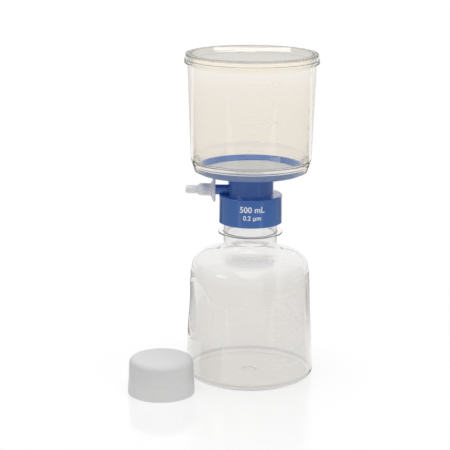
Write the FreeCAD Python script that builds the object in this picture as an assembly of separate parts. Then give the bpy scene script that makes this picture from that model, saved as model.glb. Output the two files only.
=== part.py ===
"""Disposable vacuum filtration unit with a 500 mL receiver and its storage cap.

Millimetres. The origin is the centre of the receiver bottle's foot, on the bench. +Z is up, the
side arm points along -X, and the storage cap stands mouth down beside the bottle.
"""

import FreeCAD
import Part
import math
import os

Vector = FreeCAD.Vector
Z_AXIS = Vector(0, 0, 1)
ARM_AXIS = Vector(-1, 0, 0)

# ---- Fits
PRESS_CLEARANCE = 0.05  # a soft or pushed-on piece round its spigot, all round
LOOSE_CLEARANCE = 0.3  # a piece that turns or lifts inside another, all round
MERGE = 0.2  # how far a rib or a ring is rooted in the wall that carries it

# ---- Receiver bottle
BOTTLE_WALL = 1.6
FOOT_RADIUS = 51.8  # of the body's cone, where it would meet the bench
FOOT_RING_WIDTH = 3.6
HEEL_FILLET = 7.2
BODY_DRAFT = 4.7  # how much narrower the cone is where it would meet the shoulder
BODY_HEIGHT = 98.7
SHOULDER_FILLET = 15.0
SHOULDER_RISE = 5.4
NECK_ROOT_FILLET = 8.5
NECK_RADIUS = 21.4
NECK_WALL = 2.3
NECK_LENGTH = 40.7
FINISH_LENGTH = 27.4  # from the support ring's underside to the lip
SUPPORT_RING_THICKNESS = 1.0
SUPPORT_RING_WIDTH = 4.2
PUNT_HEIGHT = 0.5
PUNT_FILLET = 40.0
GATE_RADIUS = 5.4
GATE_DEPTH = 0.4

GRIP_RADIUS = 25.0
GRIP_DEPTH = 2.2
GRIP_DROP = 40.2  # of the grips' centres below the top of the body's cone
GRIP_BEARING = 24.0  # degrees from +X of the line through the two grips
GRIP_MARGIN = 1.2  # how much wider than a grip the tool that sinks it is

# ---- Raised graduations, each a long line at 100 mL and a short one at 50 mL
LINE_WIDTH = 0.5
LINE_RELIEF = 0.25
LONG_SWEEP = 20.0
SHORT_SWEEP = 14.0
SCALE_HEADROOM = 5.0  # plain wall above a scale's last line
BOTTLE_SCALE_BEARING = -73.0  # degrees from +X where the lines begin
BOTTLE_SCALE_FIRST_Z = 19.0
BOTTLE_SCALE_STEP = 6.8
FILL_LINE_DROP = 14.7  # of the fill line below the top of the body's cone
FILL_LINE_SWEEP = 44.0
CHAMBER_SCALE_BEARINGS = (-94.0, -14.0)
CHAMBER_SCALE_RISE = 16.8  # first line's height above the membrane's seat
CHAMBER_SCALE_STEP = 7.25

# ---- Screw finish shared by the bottle, the housing and the cap
THREAD_RELIEF = 1.0  # height of the fine thread's crest above the neck
THREAD_CLEARANCE = 0.4

# ---- Neck gasket
GASKET_THICKNESS = 1.6
GASKET_LIP = 0.2  # how far the gasket stands back from the bottle's bore

# ---- Membrane
MEMBRANE_RADIUS = 37.5
MEMBRANE_THICKNESS = 0.2
MEMBRANE_CLEARANCE = 0.3
SEAL_BAND_WIDTH = 2.0  # of the land that the membrane's edge is sealed to

# ---- Filter housing
SKIRT_WALL = 2.4
SKIRT_HEIGHT = 22.6
SKIRT_FILLET = 1.0
PLATE_THICKNESS = 2.2
COLUMN_RADIUS = 18.3
COLUMN_WALL = 1.8
DISH_UNDERSIDE_RISE = 3.2  # of the dish's underside from the column to the edge
DISH_FLOOR = 4.7  # from the underside at the column up to the membrane's seat
DISH_SLOPE_FOOT = 0.6
DISH_SLOPE_WIDTH = 2.2
DISH_DEPTH = 4.2  # from the rim down to the membrane's seat
DISH_RIM_WIDTH = 2.3
COLLECTOR_EDGE_DEPTH = 1.1
COLLECTOR_CENTRE_DEPTH = 2.6
RIB_WIDTH = 0.9
RIB_STARTS = (7.0, 15.0, 25.0)  # inner ends of the long, middle and short ribs
RIB_COUNTS = (12, 12, 24)
DRIP_BORE = 3.0
DRIP_WALL = 1.4
DRIP_LENGTH = 8.0  # below the housing's plate, past the vacuum passage

# ---- Side arm
ARM_RISE = 3.2  # of its axis above the plate
ARM_RADIUS = 4.1
ARM_REACH = 2.9  # of the adapter's seat beyond the skirt
ARM_BORE = 2.2
SPIGOT_RADIUS = 3.4
SPIGOT_LENGTH = 9.5

# ---- Hose adapter
ADAPTER_FLANGE_RADIUS = 9.7
ADAPTER_FLANGE_HUB = 3.8
ADAPTER_FLANGE_EDGE = 1.7
ADAPTER_BARREL_WALL = 1.5
ADAPTER_BARREL_LENGTH = 12.4
ADAPTER_SHOULDER_LENGTH = 2.0
ADAPTER_HEADROOM = 2.1  # between its flange and the level of the dish's underside
NOZZLE_RADIUS = 3.3
NOZZLE_LENGTH = 9.3
NOZZLE_FILLET = 1.3
NOZZLE_WALL = 1.7

# ---- Fibre plug in the side arm
PLUG_LENGTH = 8.0
PLUG_DEPTH = 3.7  # of its inner end from the column's wall

# ---- Upper chamber
CHAMBER_WALL = 1.7
CHAMBER_HEIGHT = 84.0
CHAMBER_FOOT_WALL = 2.45  # round the dish's edge
CHAMBER_FOOT_DROP = 4.5  # of the foot below the dish's rim
CHAMBER_LEDGE_WIDTH = 0.75  # of the ledge that rests on the dish's rim
CHAMBER_LEDGE_THICKNESS = 0.9
CHAMBER_SHOULDER_RISE = 4.5
CHAMBER_SHOULDER_OVERHANG = 3.0
CHAMBER_FLARE = 2.9
CHAMBER_FLANGE_WIDTH = 2.3
CHAMBER_FLANGE_THICKNESS = 3.0
CHAMBER_FILLET = 0.6

# ---- Lid
LID_INSET = 0.9  # of its edge from the edge of the chamber's flange
LID_EDGE = 4.4
LID_PLATE = 1.5
LID_EDGE_WALL = 1.6
LID_FILLET = 0.5
LID_SPIGOT_WALL = 1.3
LID_SPIGOT_LENGTH = 5.0

# ---- Storage cap
CAP_BEARING = 217.2  # degrees from +X of the cap's place beside the bottle
CAP_GAP = 8.2
CAP_WALL = 2.4
CAP_HEIGHT = 28.6
CAP_DRAFT = 1.0  # how much narrower the crown is than the mouth
CAP_CROWN = 2.2
CAP_CROWN_FILLET = 4.5
CAP_BAND_HEIGHT = 9.6
CAP_BAND_RELIEF = 0.25
CAP_BORE_FILLET = 0.8
SEAL_LENGTH = 4.0
SEAL_WALL = 1.2

# ---- Levels and radii worked out from the sizes above
BODY_TOP_RADIUS = FOOT_RADIUS - BODY_DRAFT
BODY_TAPER = BODY_DRAFT / BODY_HEIGHT
GRIP_Z = BODY_HEIGHT - GRIP_DROP
FILL_LINE_Z = BODY_HEIGHT - FILL_LINE_DROP
NECK_ROOT_Z = BODY_HEIGHT + SHOULDER_RISE
NECK_BORE = NECK_RADIUS - NECK_WALL
LIP_Z = NECK_ROOT_Z + NECK_LENGTH
SUPPORT_RING_Z = LIP_Z - FINISH_LENGTH
SCREW_BORE = NECK_RADIUS + THREAD_RELIEF + THREAD_CLEARANCE
SKIRT_RADIUS = SCREW_BORE + SKIRT_WALL
PLATE_BOTTOM_Z = LIP_Z + GASKET_THICKNESS
PLATE_TOP_Z = PLATE_BOTTOM_Z + PLATE_THICKNESS
SKIRT_BOTTOM_Z = PLATE_TOP_Z - SKIRT_HEIGHT
COLUMN_BORE = COLUMN_RADIUS - COLUMN_WALL
DRIP_RADIUS = DRIP_BORE + DRIP_WALL
ARM_Z = PLATE_TOP_Z + ARM_RISE
ARM_SEAT_X = SKIRT_RADIUS + ARM_REACH
SPIGOT_END_X = ARM_SEAT_X + SPIGOT_LENGTH
DISH_UNDERSIDE_Z = ARM_Z + ADAPTER_FLANGE_RADIUS + ADAPTER_HEADROOM
MEMBRANE_SEAT_Z = DISH_UNDERSIDE_Z + DISH_FLOOR
MEMBRANE_RECESS = MEMBRANE_RADIUS + MEMBRANE_CLEARANCE
COLLECTOR_RADIUS = MEMBRANE_RADIUS - SEAL_BAND_WIDTH
DISH_SLOPE_TOP_RADIUS = MEMBRANE_RECESS + DISH_SLOPE_WIDTH
DISH_RADIUS = DISH_SLOPE_TOP_RADIUS + DISH_RIM_WIDTH
DISH_RIM_Z = MEMBRANE_SEAT_Z + DISH_DEPTH
CHAMBER_FOOT_BORE = DISH_RADIUS + PRESS_CLEARANCE
CHAMBER_FOOT_RADIUS = CHAMBER_FOOT_BORE + CHAMBER_FOOT_WALL
CHAMBER_FOOT_Z = DISH_RIM_Z - CHAMBER_FOOT_DROP
CHAMBER_LEDGE_BORE = CHAMBER_FOOT_BORE - CHAMBER_LEDGE_WIDTH
CHAMBER_SHOULDER_Z = DISH_RIM_Z + CHAMBER_SHOULDER_RISE
CHAMBER_SHOULDER_RADIUS = CHAMBER_FOOT_RADIUS + CHAMBER_SHOULDER_OVERHANG
CHAMBER_TOP_Z = DISH_RIM_Z + CHAMBER_HEIGHT
CHAMBER_TOP_RADIUS = CHAMBER_SHOULDER_RADIUS + CHAMBER_FLARE
CHAMBER_TAPER = CHAMBER_FLARE / (CHAMBER_TOP_Z - CHAMBER_SHOULDER_Z)
CHAMBER_FLANGE_RADIUS = CHAMBER_TOP_RADIUS + CHAMBER_FLANGE_WIDTH
CHAMBER_FLANGE_Z = CHAMBER_TOP_Z - CHAMBER_FLANGE_THICKNESS
LID_RADIUS = CHAMBER_FLANGE_RADIUS - LID_INSET
LID_TOP_Z = CHAMBER_TOP_Z + LID_EDGE
CAP_MOUTH_RADIUS = SCREW_BORE + CAP_WALL + CAP_DRAFT
CAP_DISTANCE = FOOT_RADIUS + CAP_GAP + CAP_MOUTH_RADIUS


# ---- Shapes that several pieces use
def outline(corners):
    """Close a profile through corners (radius, height, fillet), with an arc at each corner's fillet."""
    points = [Vector(radius, 0, height) for radius, height, _ in corners]
    stops = []
    for i, (_, _, fillet) in enumerate(corners):
        corner = points[i]
        if not fillet:
            stops.append((corner, None, corner))
            continue
        back = (points[i - 1] - corner).normalize()
        ahead = (points[(i + 1) % len(points)] - corner).normalize()
        half = back.getAngle(ahead) / 2
        bisector = (back + ahead).normalize()
        centre = corner + bisector * (fillet / math.sin(half))
        reach = fillet / math.tan(half)
        stops.append((corner + back * reach, centre - bisector * fillet, corner + ahead * reach))
    edges = []
    for i, (start, middle, end) in enumerate(stops):
        before = stops[i - 1][2]
        if not before.isEqual(start, 1e-7):
            edges.append(Part.LineSegment(before, start).toShape())
        if middle is not None:
            edges.append(Part.Arc(start, middle, end).toShape())
    return Part.Wire(edges)


def turned(corners, sweep=360.0):
    """Turn a profile about the Z axis."""
    return Part.Face(outline(corners)).revolve(Vector(), Z_AXIS, sweep)


def turned_on_arm(corners):
    """Turn a profile of (radius, distance out along the side arm, fillet) about the arm's axis."""
    shape = turned(corners)
    shape.rotate(Vector(), Vector(0, 1, 0), -90)
    shape.translate(Vector(0, 0, ARM_Z))
    return shape


def sharp(*corners):
    """Give each (radius, height) corner no fillet."""
    return [(radius, height, 0) for radius, height in corners]


def raised_line(wall_radius, height, bearing, sweep):
    """Make a raised graduation line round a wall, rooted in it."""
    low = height - LINE_WIDTH / 2
    high = height + LINE_WIDTH / 2
    inner = wall_radius - MERGE
    outer = wall_radius + LINE_RELIEF
    line = turned(sharp((inner, low), (outer, low), (outer, high), (inner, high)), sweep)
    line.rotate(Vector(), Z_AXIS, bearing)
    return line


def scale_lines(wall_radius, first_height, step, top, bearing):
    """Make a column of raised lines, long and short in turn, up to a headroom below the top."""
    lines = []
    height = first_height
    while height <= top - SCALE_HEADROOM:
        sweep = (LONG_SWEEP, SHORT_SWEEP)[len(lines) % 2]
        lines.append(raised_line(wall_radius(height), height, bearing, sweep))
        height += step
    return lines


# ---- Receiver bottle
def body_radius(height):
    """Outer radius of the bottle's body at a height."""
    return FOOT_RADIUS - BODY_TAPER * height


def grip_tool(inset):
    """Space outside two dished floors, set in from the body's cone by inset, facing +Y and -Y.

    Each floor turns about an axis behind the bottle's own, so that its round edge lies on the cone.
    """
    middle = body_radius(GRIP_Z)
    floor = middle - GRIP_DEPTH
    chord = math.sqrt(middle**2 - GRIP_RADIUS**2)
    setback = (middle**2 - floor**2) / (2 * (floor - chord))

    def floor_point(step):
        height = GRIP_Z + step * GRIP_RADIUS
        depth = GRIP_DEPTH * (1 - step**2)
        return Vector(body_radius(height) - depth - inset + setback, 0, height)

    low, deepest, high = (floor_point(step) for step in (-GRIP_MARGIN, 0, GRIP_MARGIN))
    top, bottom = Vector(0, 0, high.z), Vector(0, 0, low.z)
    edges = [Part.Arc(low, deepest, high).toShape()]
    edges += [Part.LineSegment(*ends).toShape() for ends in ((high, top), (top, bottom), (bottom, low))]
    core = Part.Face(Part.Wire(edges)).revolve(Vector(), Z_AXIS, 360)
    core.translate(Vector(0, -setback, 0))
    half_width = GRIP_MARGIN * GRIP_RADIUS
    block = Part.makeBox(
        2 * half_width, FOOT_RADIUS, high.z - low.z, Vector(-half_width, 0, low.z)
    )
    tool = block.cut(core)
    opposite = tool.copy()
    opposite.rotate(Vector(), Z_AXIS, 180)
    return [tool, opposite]


def receiver_bottle():
    """Thin-walled bottle with a punt, two thumb grips, graduations, a support ring and a plain neck."""
    punt_radius = FOOT_RADIUS - HEEL_FILLET - FOOT_RING_WIDTH
    outside = [
        (0, PUNT_HEIGHT + GATE_DEPTH, 0),
        (GATE_RADIUS, PUNT_HEIGHT + GATE_DEPTH, 0),
        (GATE_RADIUS, PUNT_HEIGHT, 0),
        (punt_radius, 0, PUNT_FILLET),
        (FOOT_RADIUS, 0, HEEL_FILLET),
        (BODY_TOP_RADIUS, BODY_HEIGHT, SHOULDER_FILLET),
        (NECK_RADIUS, NECK_ROOT_Z, NECK_ROOT_FILLET),
        (NECK_RADIUS, LIP_Z, 0),
        (0, LIP_Z, 0),
    ]
    inner_top = BODY_HEIGHT - BOTTLE_WALL
    inside = [
        (0, PUNT_HEIGHT + BOTTLE_WALL, 0),
        (GATE_RADIUS, PUNT_HEIGHT + BOTTLE_WALL, 0),
        (punt_radius, BOTTLE_WALL, PUNT_FILLET - BOTTLE_WALL),
        (body_radius(BOTTLE_WALL) - BOTTLE_WALL, BOTTLE_WALL, HEEL_FILLET - BOTTLE_WALL),
        (body_radius(inner_top) - BOTTLE_WALL, inner_top, SHOULDER_FILLET - BOTTLE_WALL),
        (NECK_BORE, NECK_ROOT_Z - BOTTLE_WALL, NECK_ROOT_FILLET + BOTTLE_WALL),
        (NECK_BORE, LIP_Z, 0),
        (0, LIP_Z, 0),
    ]
    hollow = turned(inside).cut(grip_tool(BOTTLE_WALL))
    shell = turned(outside).cut(grip_tool(0)).cut(hollow)
    shell.rotate(Vector(), Z_AXIS, GRIP_BEARING - 90)
    ring_root = NECK_RADIUS - MERGE
    ring_edge = NECK_RADIUS + SUPPORT_RING_WIDTH
    ring_top = SUPPORT_RING_Z + SUPPORT_RING_THICKNESS
    ring = turned(
        sharp(
            (ring_root, SUPPORT_RING_Z),
            (ring_edge, SUPPORT_RING_Z),
            (ring_edge, ring_top),
            (ring_root, ring_top),
        )
    )
    lines = scale_lines(
        body_radius, BOTTLE_SCALE_FIRST_Z, BOTTLE_SCALE_STEP, FILL_LINE_Z, BOTTLE_SCALE_BEARING
    )
    lines.append(
        raised_line(body_radius(FILL_LINE_Z), FILL_LINE_Z, BOTTLE_SCALE_BEARING, FILL_LINE_SWEEP)
    )
    return shell.fuse([ring] + lines)


# ---- Neck gasket
def neck_gasket():
    """Flat soft ring between the bottle's lip and the housing."""
    inner = NECK_BORE + GASKET_LIP
    outer = SCREW_BORE - LOOSE_CLEARANCE
    return turned(
        sharp((inner, LIP_Z), (outer, LIP_Z), (outer, PLATE_BOTTOM_Z), (inner, PLATE_BOTTOM_Z))
    )


# ---- Filter housing
def membrane_ribs():
    """Radial ribs that carry the membrane and lead the filtrate to the drip tube."""
    ribs = []
    bottom = MEMBRANE_SEAT_Z - COLLECTOR_CENTRE_DEPTH - MERGE
    height = MEMBRANE_SEAT_Z - bottom
    for start, count, phase in zip(RIB_STARTS, RIB_COUNTS, (0.0, 0.5, 0.5)):
        for i in range(count):
            rib = Part.makeBox(
                COLLECTOR_RADIUS + MERGE - start,
                RIB_WIDTH,
                height,
                Vector(start, -RIB_WIDTH / 2, bottom),
            )
            spacing = 360.0 / count
            rib.rotate(Vector(), Z_AXIS, (i + phase) * spacing)
            ribs.append(rib)
    return ribs


def filter_housing():
    """One moulding: screw skirt, plate, column, drip tube, side arm and the dish under the membrane."""
    floor_edge = MEMBRANE_SEAT_Z - COLLECTOR_EDGE_DEPTH
    floor_centre = MEMBRANE_SEAT_Z - COLLECTOR_CENTRE_DEPTH
    body = turned(
        [
            (DRIP_RADIUS, DISH_UNDERSIDE_Z, 0),
            (COLUMN_BORE, DISH_UNDERSIDE_Z, 0),
            (COLUMN_BORE, PLATE_BOTTOM_Z, 0),
            (SCREW_BORE, PLATE_BOTTOM_Z, 0),
            (SCREW_BORE, SKIRT_BOTTOM_Z, 0),
            (SKIRT_RADIUS, SKIRT_BOTTOM_Z, 0),
            (SKIRT_RADIUS, PLATE_TOP_Z, SKIRT_FILLET),
            (COLUMN_RADIUS, PLATE_TOP_Z, 0),
            (COLUMN_RADIUS, DISH_UNDERSIDE_Z, 0),
            (DISH_RADIUS, DISH_UNDERSIDE_Z + DISH_UNDERSIDE_RISE, 0),
            (DISH_RADIUS, DISH_RIM_Z, 0),
            (DISH_SLOPE_TOP_RADIUS, DISH_RIM_Z, 0),
            (MEMBRANE_RECESS, MEMBRANE_SEAT_Z + DISH_SLOPE_FOOT, 0),
            (MEMBRANE_RECESS, MEMBRANE_SEAT_Z, 0),
            (COLLECTOR_RADIUS, MEMBRANE_SEAT_Z, 0),
            (COLLECTOR_RADIUS, floor_edge, 0),
            (DRIP_RADIUS, floor_centre, 0),
        ]
    )
    drip_bottom = PLATE_BOTTOM_Z - DRIP_LENGTH
    drip = turned(
        sharp(
            (DRIP_BORE, drip_bottom),
            (DRIP_RADIUS, drip_bottom),
            (DRIP_RADIUS, floor_centre),
            (DRIP_BORE, floor_centre),
        )
    )
    arm = turned_on_arm(
        sharp(
            (0, COLUMN_RADIUS - COLUMN_WALL / 2),
            (ARM_RADIUS, COLUMN_RADIUS - COLUMN_WALL / 2),
            (ARM_RADIUS, ARM_SEAT_X),
            (SPIGOT_RADIUS, ARM_SEAT_X),
            (SPIGOT_RADIUS, SPIGOT_END_X),
            (0, SPIGOT_END_X),
        )
    )
    passage = Part.makeCylinder(
        ARM_BORE, SPIGOT_END_X - COLUMN_BORE / 2, Vector(-COLUMN_BORE / 2, 0, ARM_Z), ARM_AXIS
    )
    return body.fuse([drip, arm] + membrane_ribs()).cut(passage)


# ---- Membrane and fibre plug
def membrane():
    """Filter disc on the housing's ribs."""
    return Part.makeCylinder(MEMBRANE_RADIUS, MEMBRANE_THICKNESS, Vector(0, 0, MEMBRANE_SEAT_Z))


def vent_plug():
    """Fibre plug in the side arm's bore."""
    start = Vector(-COLUMN_RADIUS - PLUG_DEPTH, 0, ARM_Z)
    return Part.makeCylinder(ARM_BORE - PRESS_CLEARANCE, PLUG_LENGTH, start, ARM_AXIS)


# ---- Hose adapter
def hose_adapter():
    """Nozzle with a cone-faced flange, pushed onto the side arm's spigot."""
    seat = ARM_SEAT_X
    barrel_end = seat + ADAPTER_BARREL_LENGTH
    nozzle_start = barrel_end + ADAPTER_SHOULDER_LENGTH
    nozzle_end = nozzle_start + NOZZLE_LENGTH
    nozzle_bore = NOZZLE_RADIUS - NOZZLE_WALL
    bore = SPIGOT_RADIUS + PRESS_CLEARANCE
    barrel = bore + ADAPTER_BARREL_WALL
    socket_end = SPIGOT_END_X + LOOSE_CLEARANCE
    return turned_on_arm(
        [
            (bore, seat, 0),
            (ADAPTER_FLANGE_RADIUS, seat, 0),
            (ADAPTER_FLANGE_RADIUS, seat + ADAPTER_FLANGE_EDGE, 0),
            (barrel, seat + ADAPTER_FLANGE_HUB, 0),
            (barrel, barrel_end, 0),
            (NOZZLE_RADIUS, nozzle_start, 0),
            (NOZZLE_RADIUS, nozzle_end, NOZZLE_FILLET),
            (nozzle_bore, nozzle_end, 0),
            (nozzle_bore, socket_end, 0),
            (bore, socket_end, 0),
        ]
    )


# ---- Upper chamber
def chamber_radius(height):
    """Outer radius of the chamber's wall at a height."""
    return CHAMBER_SHOULDER_RADIUS + CHAMBER_TAPER * (height - CHAMBER_SHOULDER_Z)


def upper_chamber():
    """Tapered chamber with a rim flange, graduations and a conical foot that fits over the dish.

    The foot goes round the dish's edge and a ledge inside it rests on the dish's rim, where the two
    are welded.
    """
    shoulder_inside = CHAMBER_SHOULDER_Z + CHAMBER_LEDGE_THICKNESS
    shell = turned(
        [
            (CHAMBER_FOOT_BORE, CHAMBER_FOOT_Z, 0),
            (CHAMBER_FOOT_RADIUS, CHAMBER_FOOT_Z, CHAMBER_FILLET),
            (CHAMBER_SHOULDER_RADIUS, CHAMBER_SHOULDER_Z, CHAMBER_FILLET),
            (chamber_radius(CHAMBER_FLANGE_Z), CHAMBER_FLANGE_Z, 0),
            (CHAMBER_FLANGE_RADIUS, CHAMBER_FLANGE_Z, CHAMBER_FILLET),
            (CHAMBER_FLANGE_RADIUS, CHAMBER_TOP_Z, CHAMBER_FILLET),
            (CHAMBER_TOP_RADIUS - CHAMBER_WALL, CHAMBER_TOP_Z, 0),
            (chamber_radius(shoulder_inside) - CHAMBER_WALL, shoulder_inside, CHAMBER_FILLET),
            (CHAMBER_LEDGE_BORE, DISH_RIM_Z + CHAMBER_LEDGE_THICKNESS, 0),
            (CHAMBER_LEDGE_BORE, DISH_RIM_Z, 0),
            (CHAMBER_FOOT_BORE, DISH_RIM_Z, 0),
        ]
    )
    first = MEMBRANE_SEAT_Z + CHAMBER_SCALE_RISE
    lines = []
    for bearing in CHAMBER_SCALE_BEARINGS:
        lines += scale_lines(chamber_radius, first, CHAMBER_SCALE_STEP, CHAMBER_FLANGE_Z, bearing)
    return shell.fuse(lines)


# ---- Lid
def lid():
    """Flat lid that rests on the rim flange, with a ring that locates it inside the chamber."""
    plate_bottom = LID_TOP_Z - LID_PLATE
    spigot = CHAMBER_TOP_RADIUS - CHAMBER_WALL - CHAMBER_TAPER * LID_SPIGOT_LENGTH - LOOSE_CLEARANCE
    spigot_bottom = CHAMBER_TOP_Z - LID_SPIGOT_LENGTH
    edge_inner = LID_RADIUS - LID_EDGE_WALL
    return turned(
        [
            (0, plate_bottom, 0),
            (spigot - LID_SPIGOT_WALL, plate_bottom, 0),
            (spigot - LID_SPIGOT_WALL, spigot_bottom, 0),
            (spigot, spigot_bottom, 0),
            (spigot, plate_bottom, 0),
            (edge_inner, plate_bottom, 0),
            (edge_inner, CHAMBER_TOP_Z, 0),
            (LID_RADIUS, CHAMBER_TOP_Z, LID_FILLET),
            (LID_RADIUS, LID_TOP_Z, LID_FILLET),
            (0, LID_TOP_Z, 0),
        ]
    )


# ---- Storage cap
def storage_cap():
    """Screw cap with a plug seal, standing mouth down on the bench beside the bottle."""
    crown_radius = CAP_MOUTH_RADIUS - CAP_DRAFT
    crown_inside = CAP_HEIGHT - CAP_CROWN
    seal = NECK_BORE - LOOSE_CLEARANCE
    seal_end = crown_inside - SEAL_LENGTH
    band_top = CAP_BAND_HEIGHT + CAP_BAND_RELIEF
    band_radius = CAP_MOUTH_RADIUS - CAP_DRAFT * band_top / CAP_HEIGHT
    cap = turned(
        [
            (SCREW_BORE, 0, CAP_BORE_FILLET),
            (CAP_MOUTH_RADIUS, 0, 0),
            (band_radius, CAP_BAND_HEIGHT, 0),
            (band_radius - CAP_BAND_RELIEF, band_top, 0),
            (crown_radius - CAP_BAND_RELIEF, CAP_HEIGHT, CAP_CROWN_FILLET),
            (0, CAP_HEIGHT, 0),
            (0, crown_inside, 0),
            (seal - SEAL_WALL, crown_inside, 0),
            (seal - SEAL_WALL, seal_end, 0),
            (seal, seal_end, 0),
            (seal, crown_inside, 0),
            (SCREW_BORE, crown_inside, CAP_BORE_FILLET),
        ]
    )
    bearing = math.radians(CAP_BEARING)
    cap.translate(Vector(math.cos(bearing), math.sin(bearing), 0) * CAP_DISTANCE)
    return cap


PIECES = {
    "receiver_bottle": receiver_bottle,
    "neck_gasket": neck_gasket,
    "filter_housing": filter_housing,
    "membrane": membrane,
    "vent_plug": vent_plug,
    "hose_adapter": hose_adapter,
    "upper_chamber": upper_chamber,
    "lid": lid,
    "storage_cap": storage_cap,
}

os.makedirs("parts", exist_ok=True)
for name, make in PIECES.items():
    piece = make()
    if piece.ShapeType == "Compound" and len(piece.Solids) == 1:
        piece = piece.Solids[0]
    piece.exportStep(f"parts/{name}.step")
    print(f"{name}: {len(piece.Solids)} solid, {piece.Volume / 1000:.2f} cm3, valid {piece.isValid()}")
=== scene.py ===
"""Looks of a disposable vacuum filtration unit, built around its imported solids.

Every piece is a surface worked out from a section and a sweep, but for the figures, which are bent
round a wall. All stand in the frame of the solids: +Z is up, the side arm points along -X, and the
storage cap stands mouth down beside the receiver bottle. The unit's sizes are in millimetres until a
mesh is made, and the studio's in metres.
"""

import logging
import math
from dataclasses import dataclass
from enum import Enum
from functools import cached_property, reduce
from operator import or_
from typing import Any, ClassVar, Iterable, Sequence

import bpy
import numpy as np
from mathutils import Matrix, Vector


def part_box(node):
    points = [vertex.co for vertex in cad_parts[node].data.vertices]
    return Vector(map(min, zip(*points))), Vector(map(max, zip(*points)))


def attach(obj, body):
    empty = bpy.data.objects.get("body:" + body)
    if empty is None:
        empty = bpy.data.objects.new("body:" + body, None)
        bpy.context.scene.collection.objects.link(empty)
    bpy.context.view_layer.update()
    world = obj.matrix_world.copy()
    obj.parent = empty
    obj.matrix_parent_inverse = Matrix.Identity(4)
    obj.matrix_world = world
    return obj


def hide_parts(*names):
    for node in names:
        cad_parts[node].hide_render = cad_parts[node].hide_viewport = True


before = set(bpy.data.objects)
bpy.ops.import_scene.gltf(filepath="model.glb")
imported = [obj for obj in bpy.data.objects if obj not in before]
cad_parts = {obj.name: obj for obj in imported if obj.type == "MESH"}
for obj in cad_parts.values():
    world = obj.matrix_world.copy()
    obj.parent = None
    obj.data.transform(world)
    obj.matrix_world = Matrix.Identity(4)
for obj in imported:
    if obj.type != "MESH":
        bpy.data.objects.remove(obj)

LOG = logging.getLogger("filtration_unit")

MM = 0.001  # metres in a millimetre
EDGE = 0.15  # fillet of a corner that has no larger one
HOLD = 0.3  # distance from an arc's end to the first point on the straight wall
ARC_STEP = math.radians(12)  # turn between two points of an arc
ARC_ROOM = 0.45  # share of a run that the arc at one end of it may take
STRAIGHT = math.radians(89.5)  # half the angle of a corner that is taken as straight
SAME = 1e-6  # distance below which two places are one
SEGMENTS = 192  # points round a turned piece that has no number of its own
CONTACT = 0.02  # air left where two pieces touch
FRONT = -90.0  # bearing of the side that faces the camera, in degrees from +X
FIGURE_SHARE = 0.7  # height of a figure, as a share of the size of its type
WHITE_LIGHT = (1.0, 1.0, 1.0)


# ---------------------------------------------------------------- geometry


@dataclass(frozen=True)
class Corner:
    """One corner of a section: its radius, its height, its fillet and the spacing on the run after it."""

    radius: float
    height: float
    fillet: float = EDGE
    spacing: float = 14.0


@dataclass(frozen=True)
class Extent:
    """The box of one solid, in millimetres."""

    low: np.ndarray
    high: np.ndarray

    @classmethod
    def of(cls, node: str) -> "Extent":
        """Read a node's box from the frame."""
        low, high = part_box(node)
        return cls(np.array(low) / MM, np.array(high) / MM)

    @property
    def centre(self) -> np.ndarray:
        """Middle of the box."""
        return (self.low + self.high) / 2

    @property
    def bottom(self) -> float:
        """Its lowest height."""
        return float(self.low[2])

    @property
    def top(self) -> float:
        """Its greatest height."""
        return float(self.high[2])

    @property
    def along_arm(self) -> tuple[float, float]:
        """Where it starts and ends along -X."""
        return -float(self.high[0]), -float(self.low[0])

    @property
    def radius(self) -> float:
        """Half the box's width along Y, which is a turned piece's radius."""
        return float(self.high[1] - self.low[1]) / 2


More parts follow.
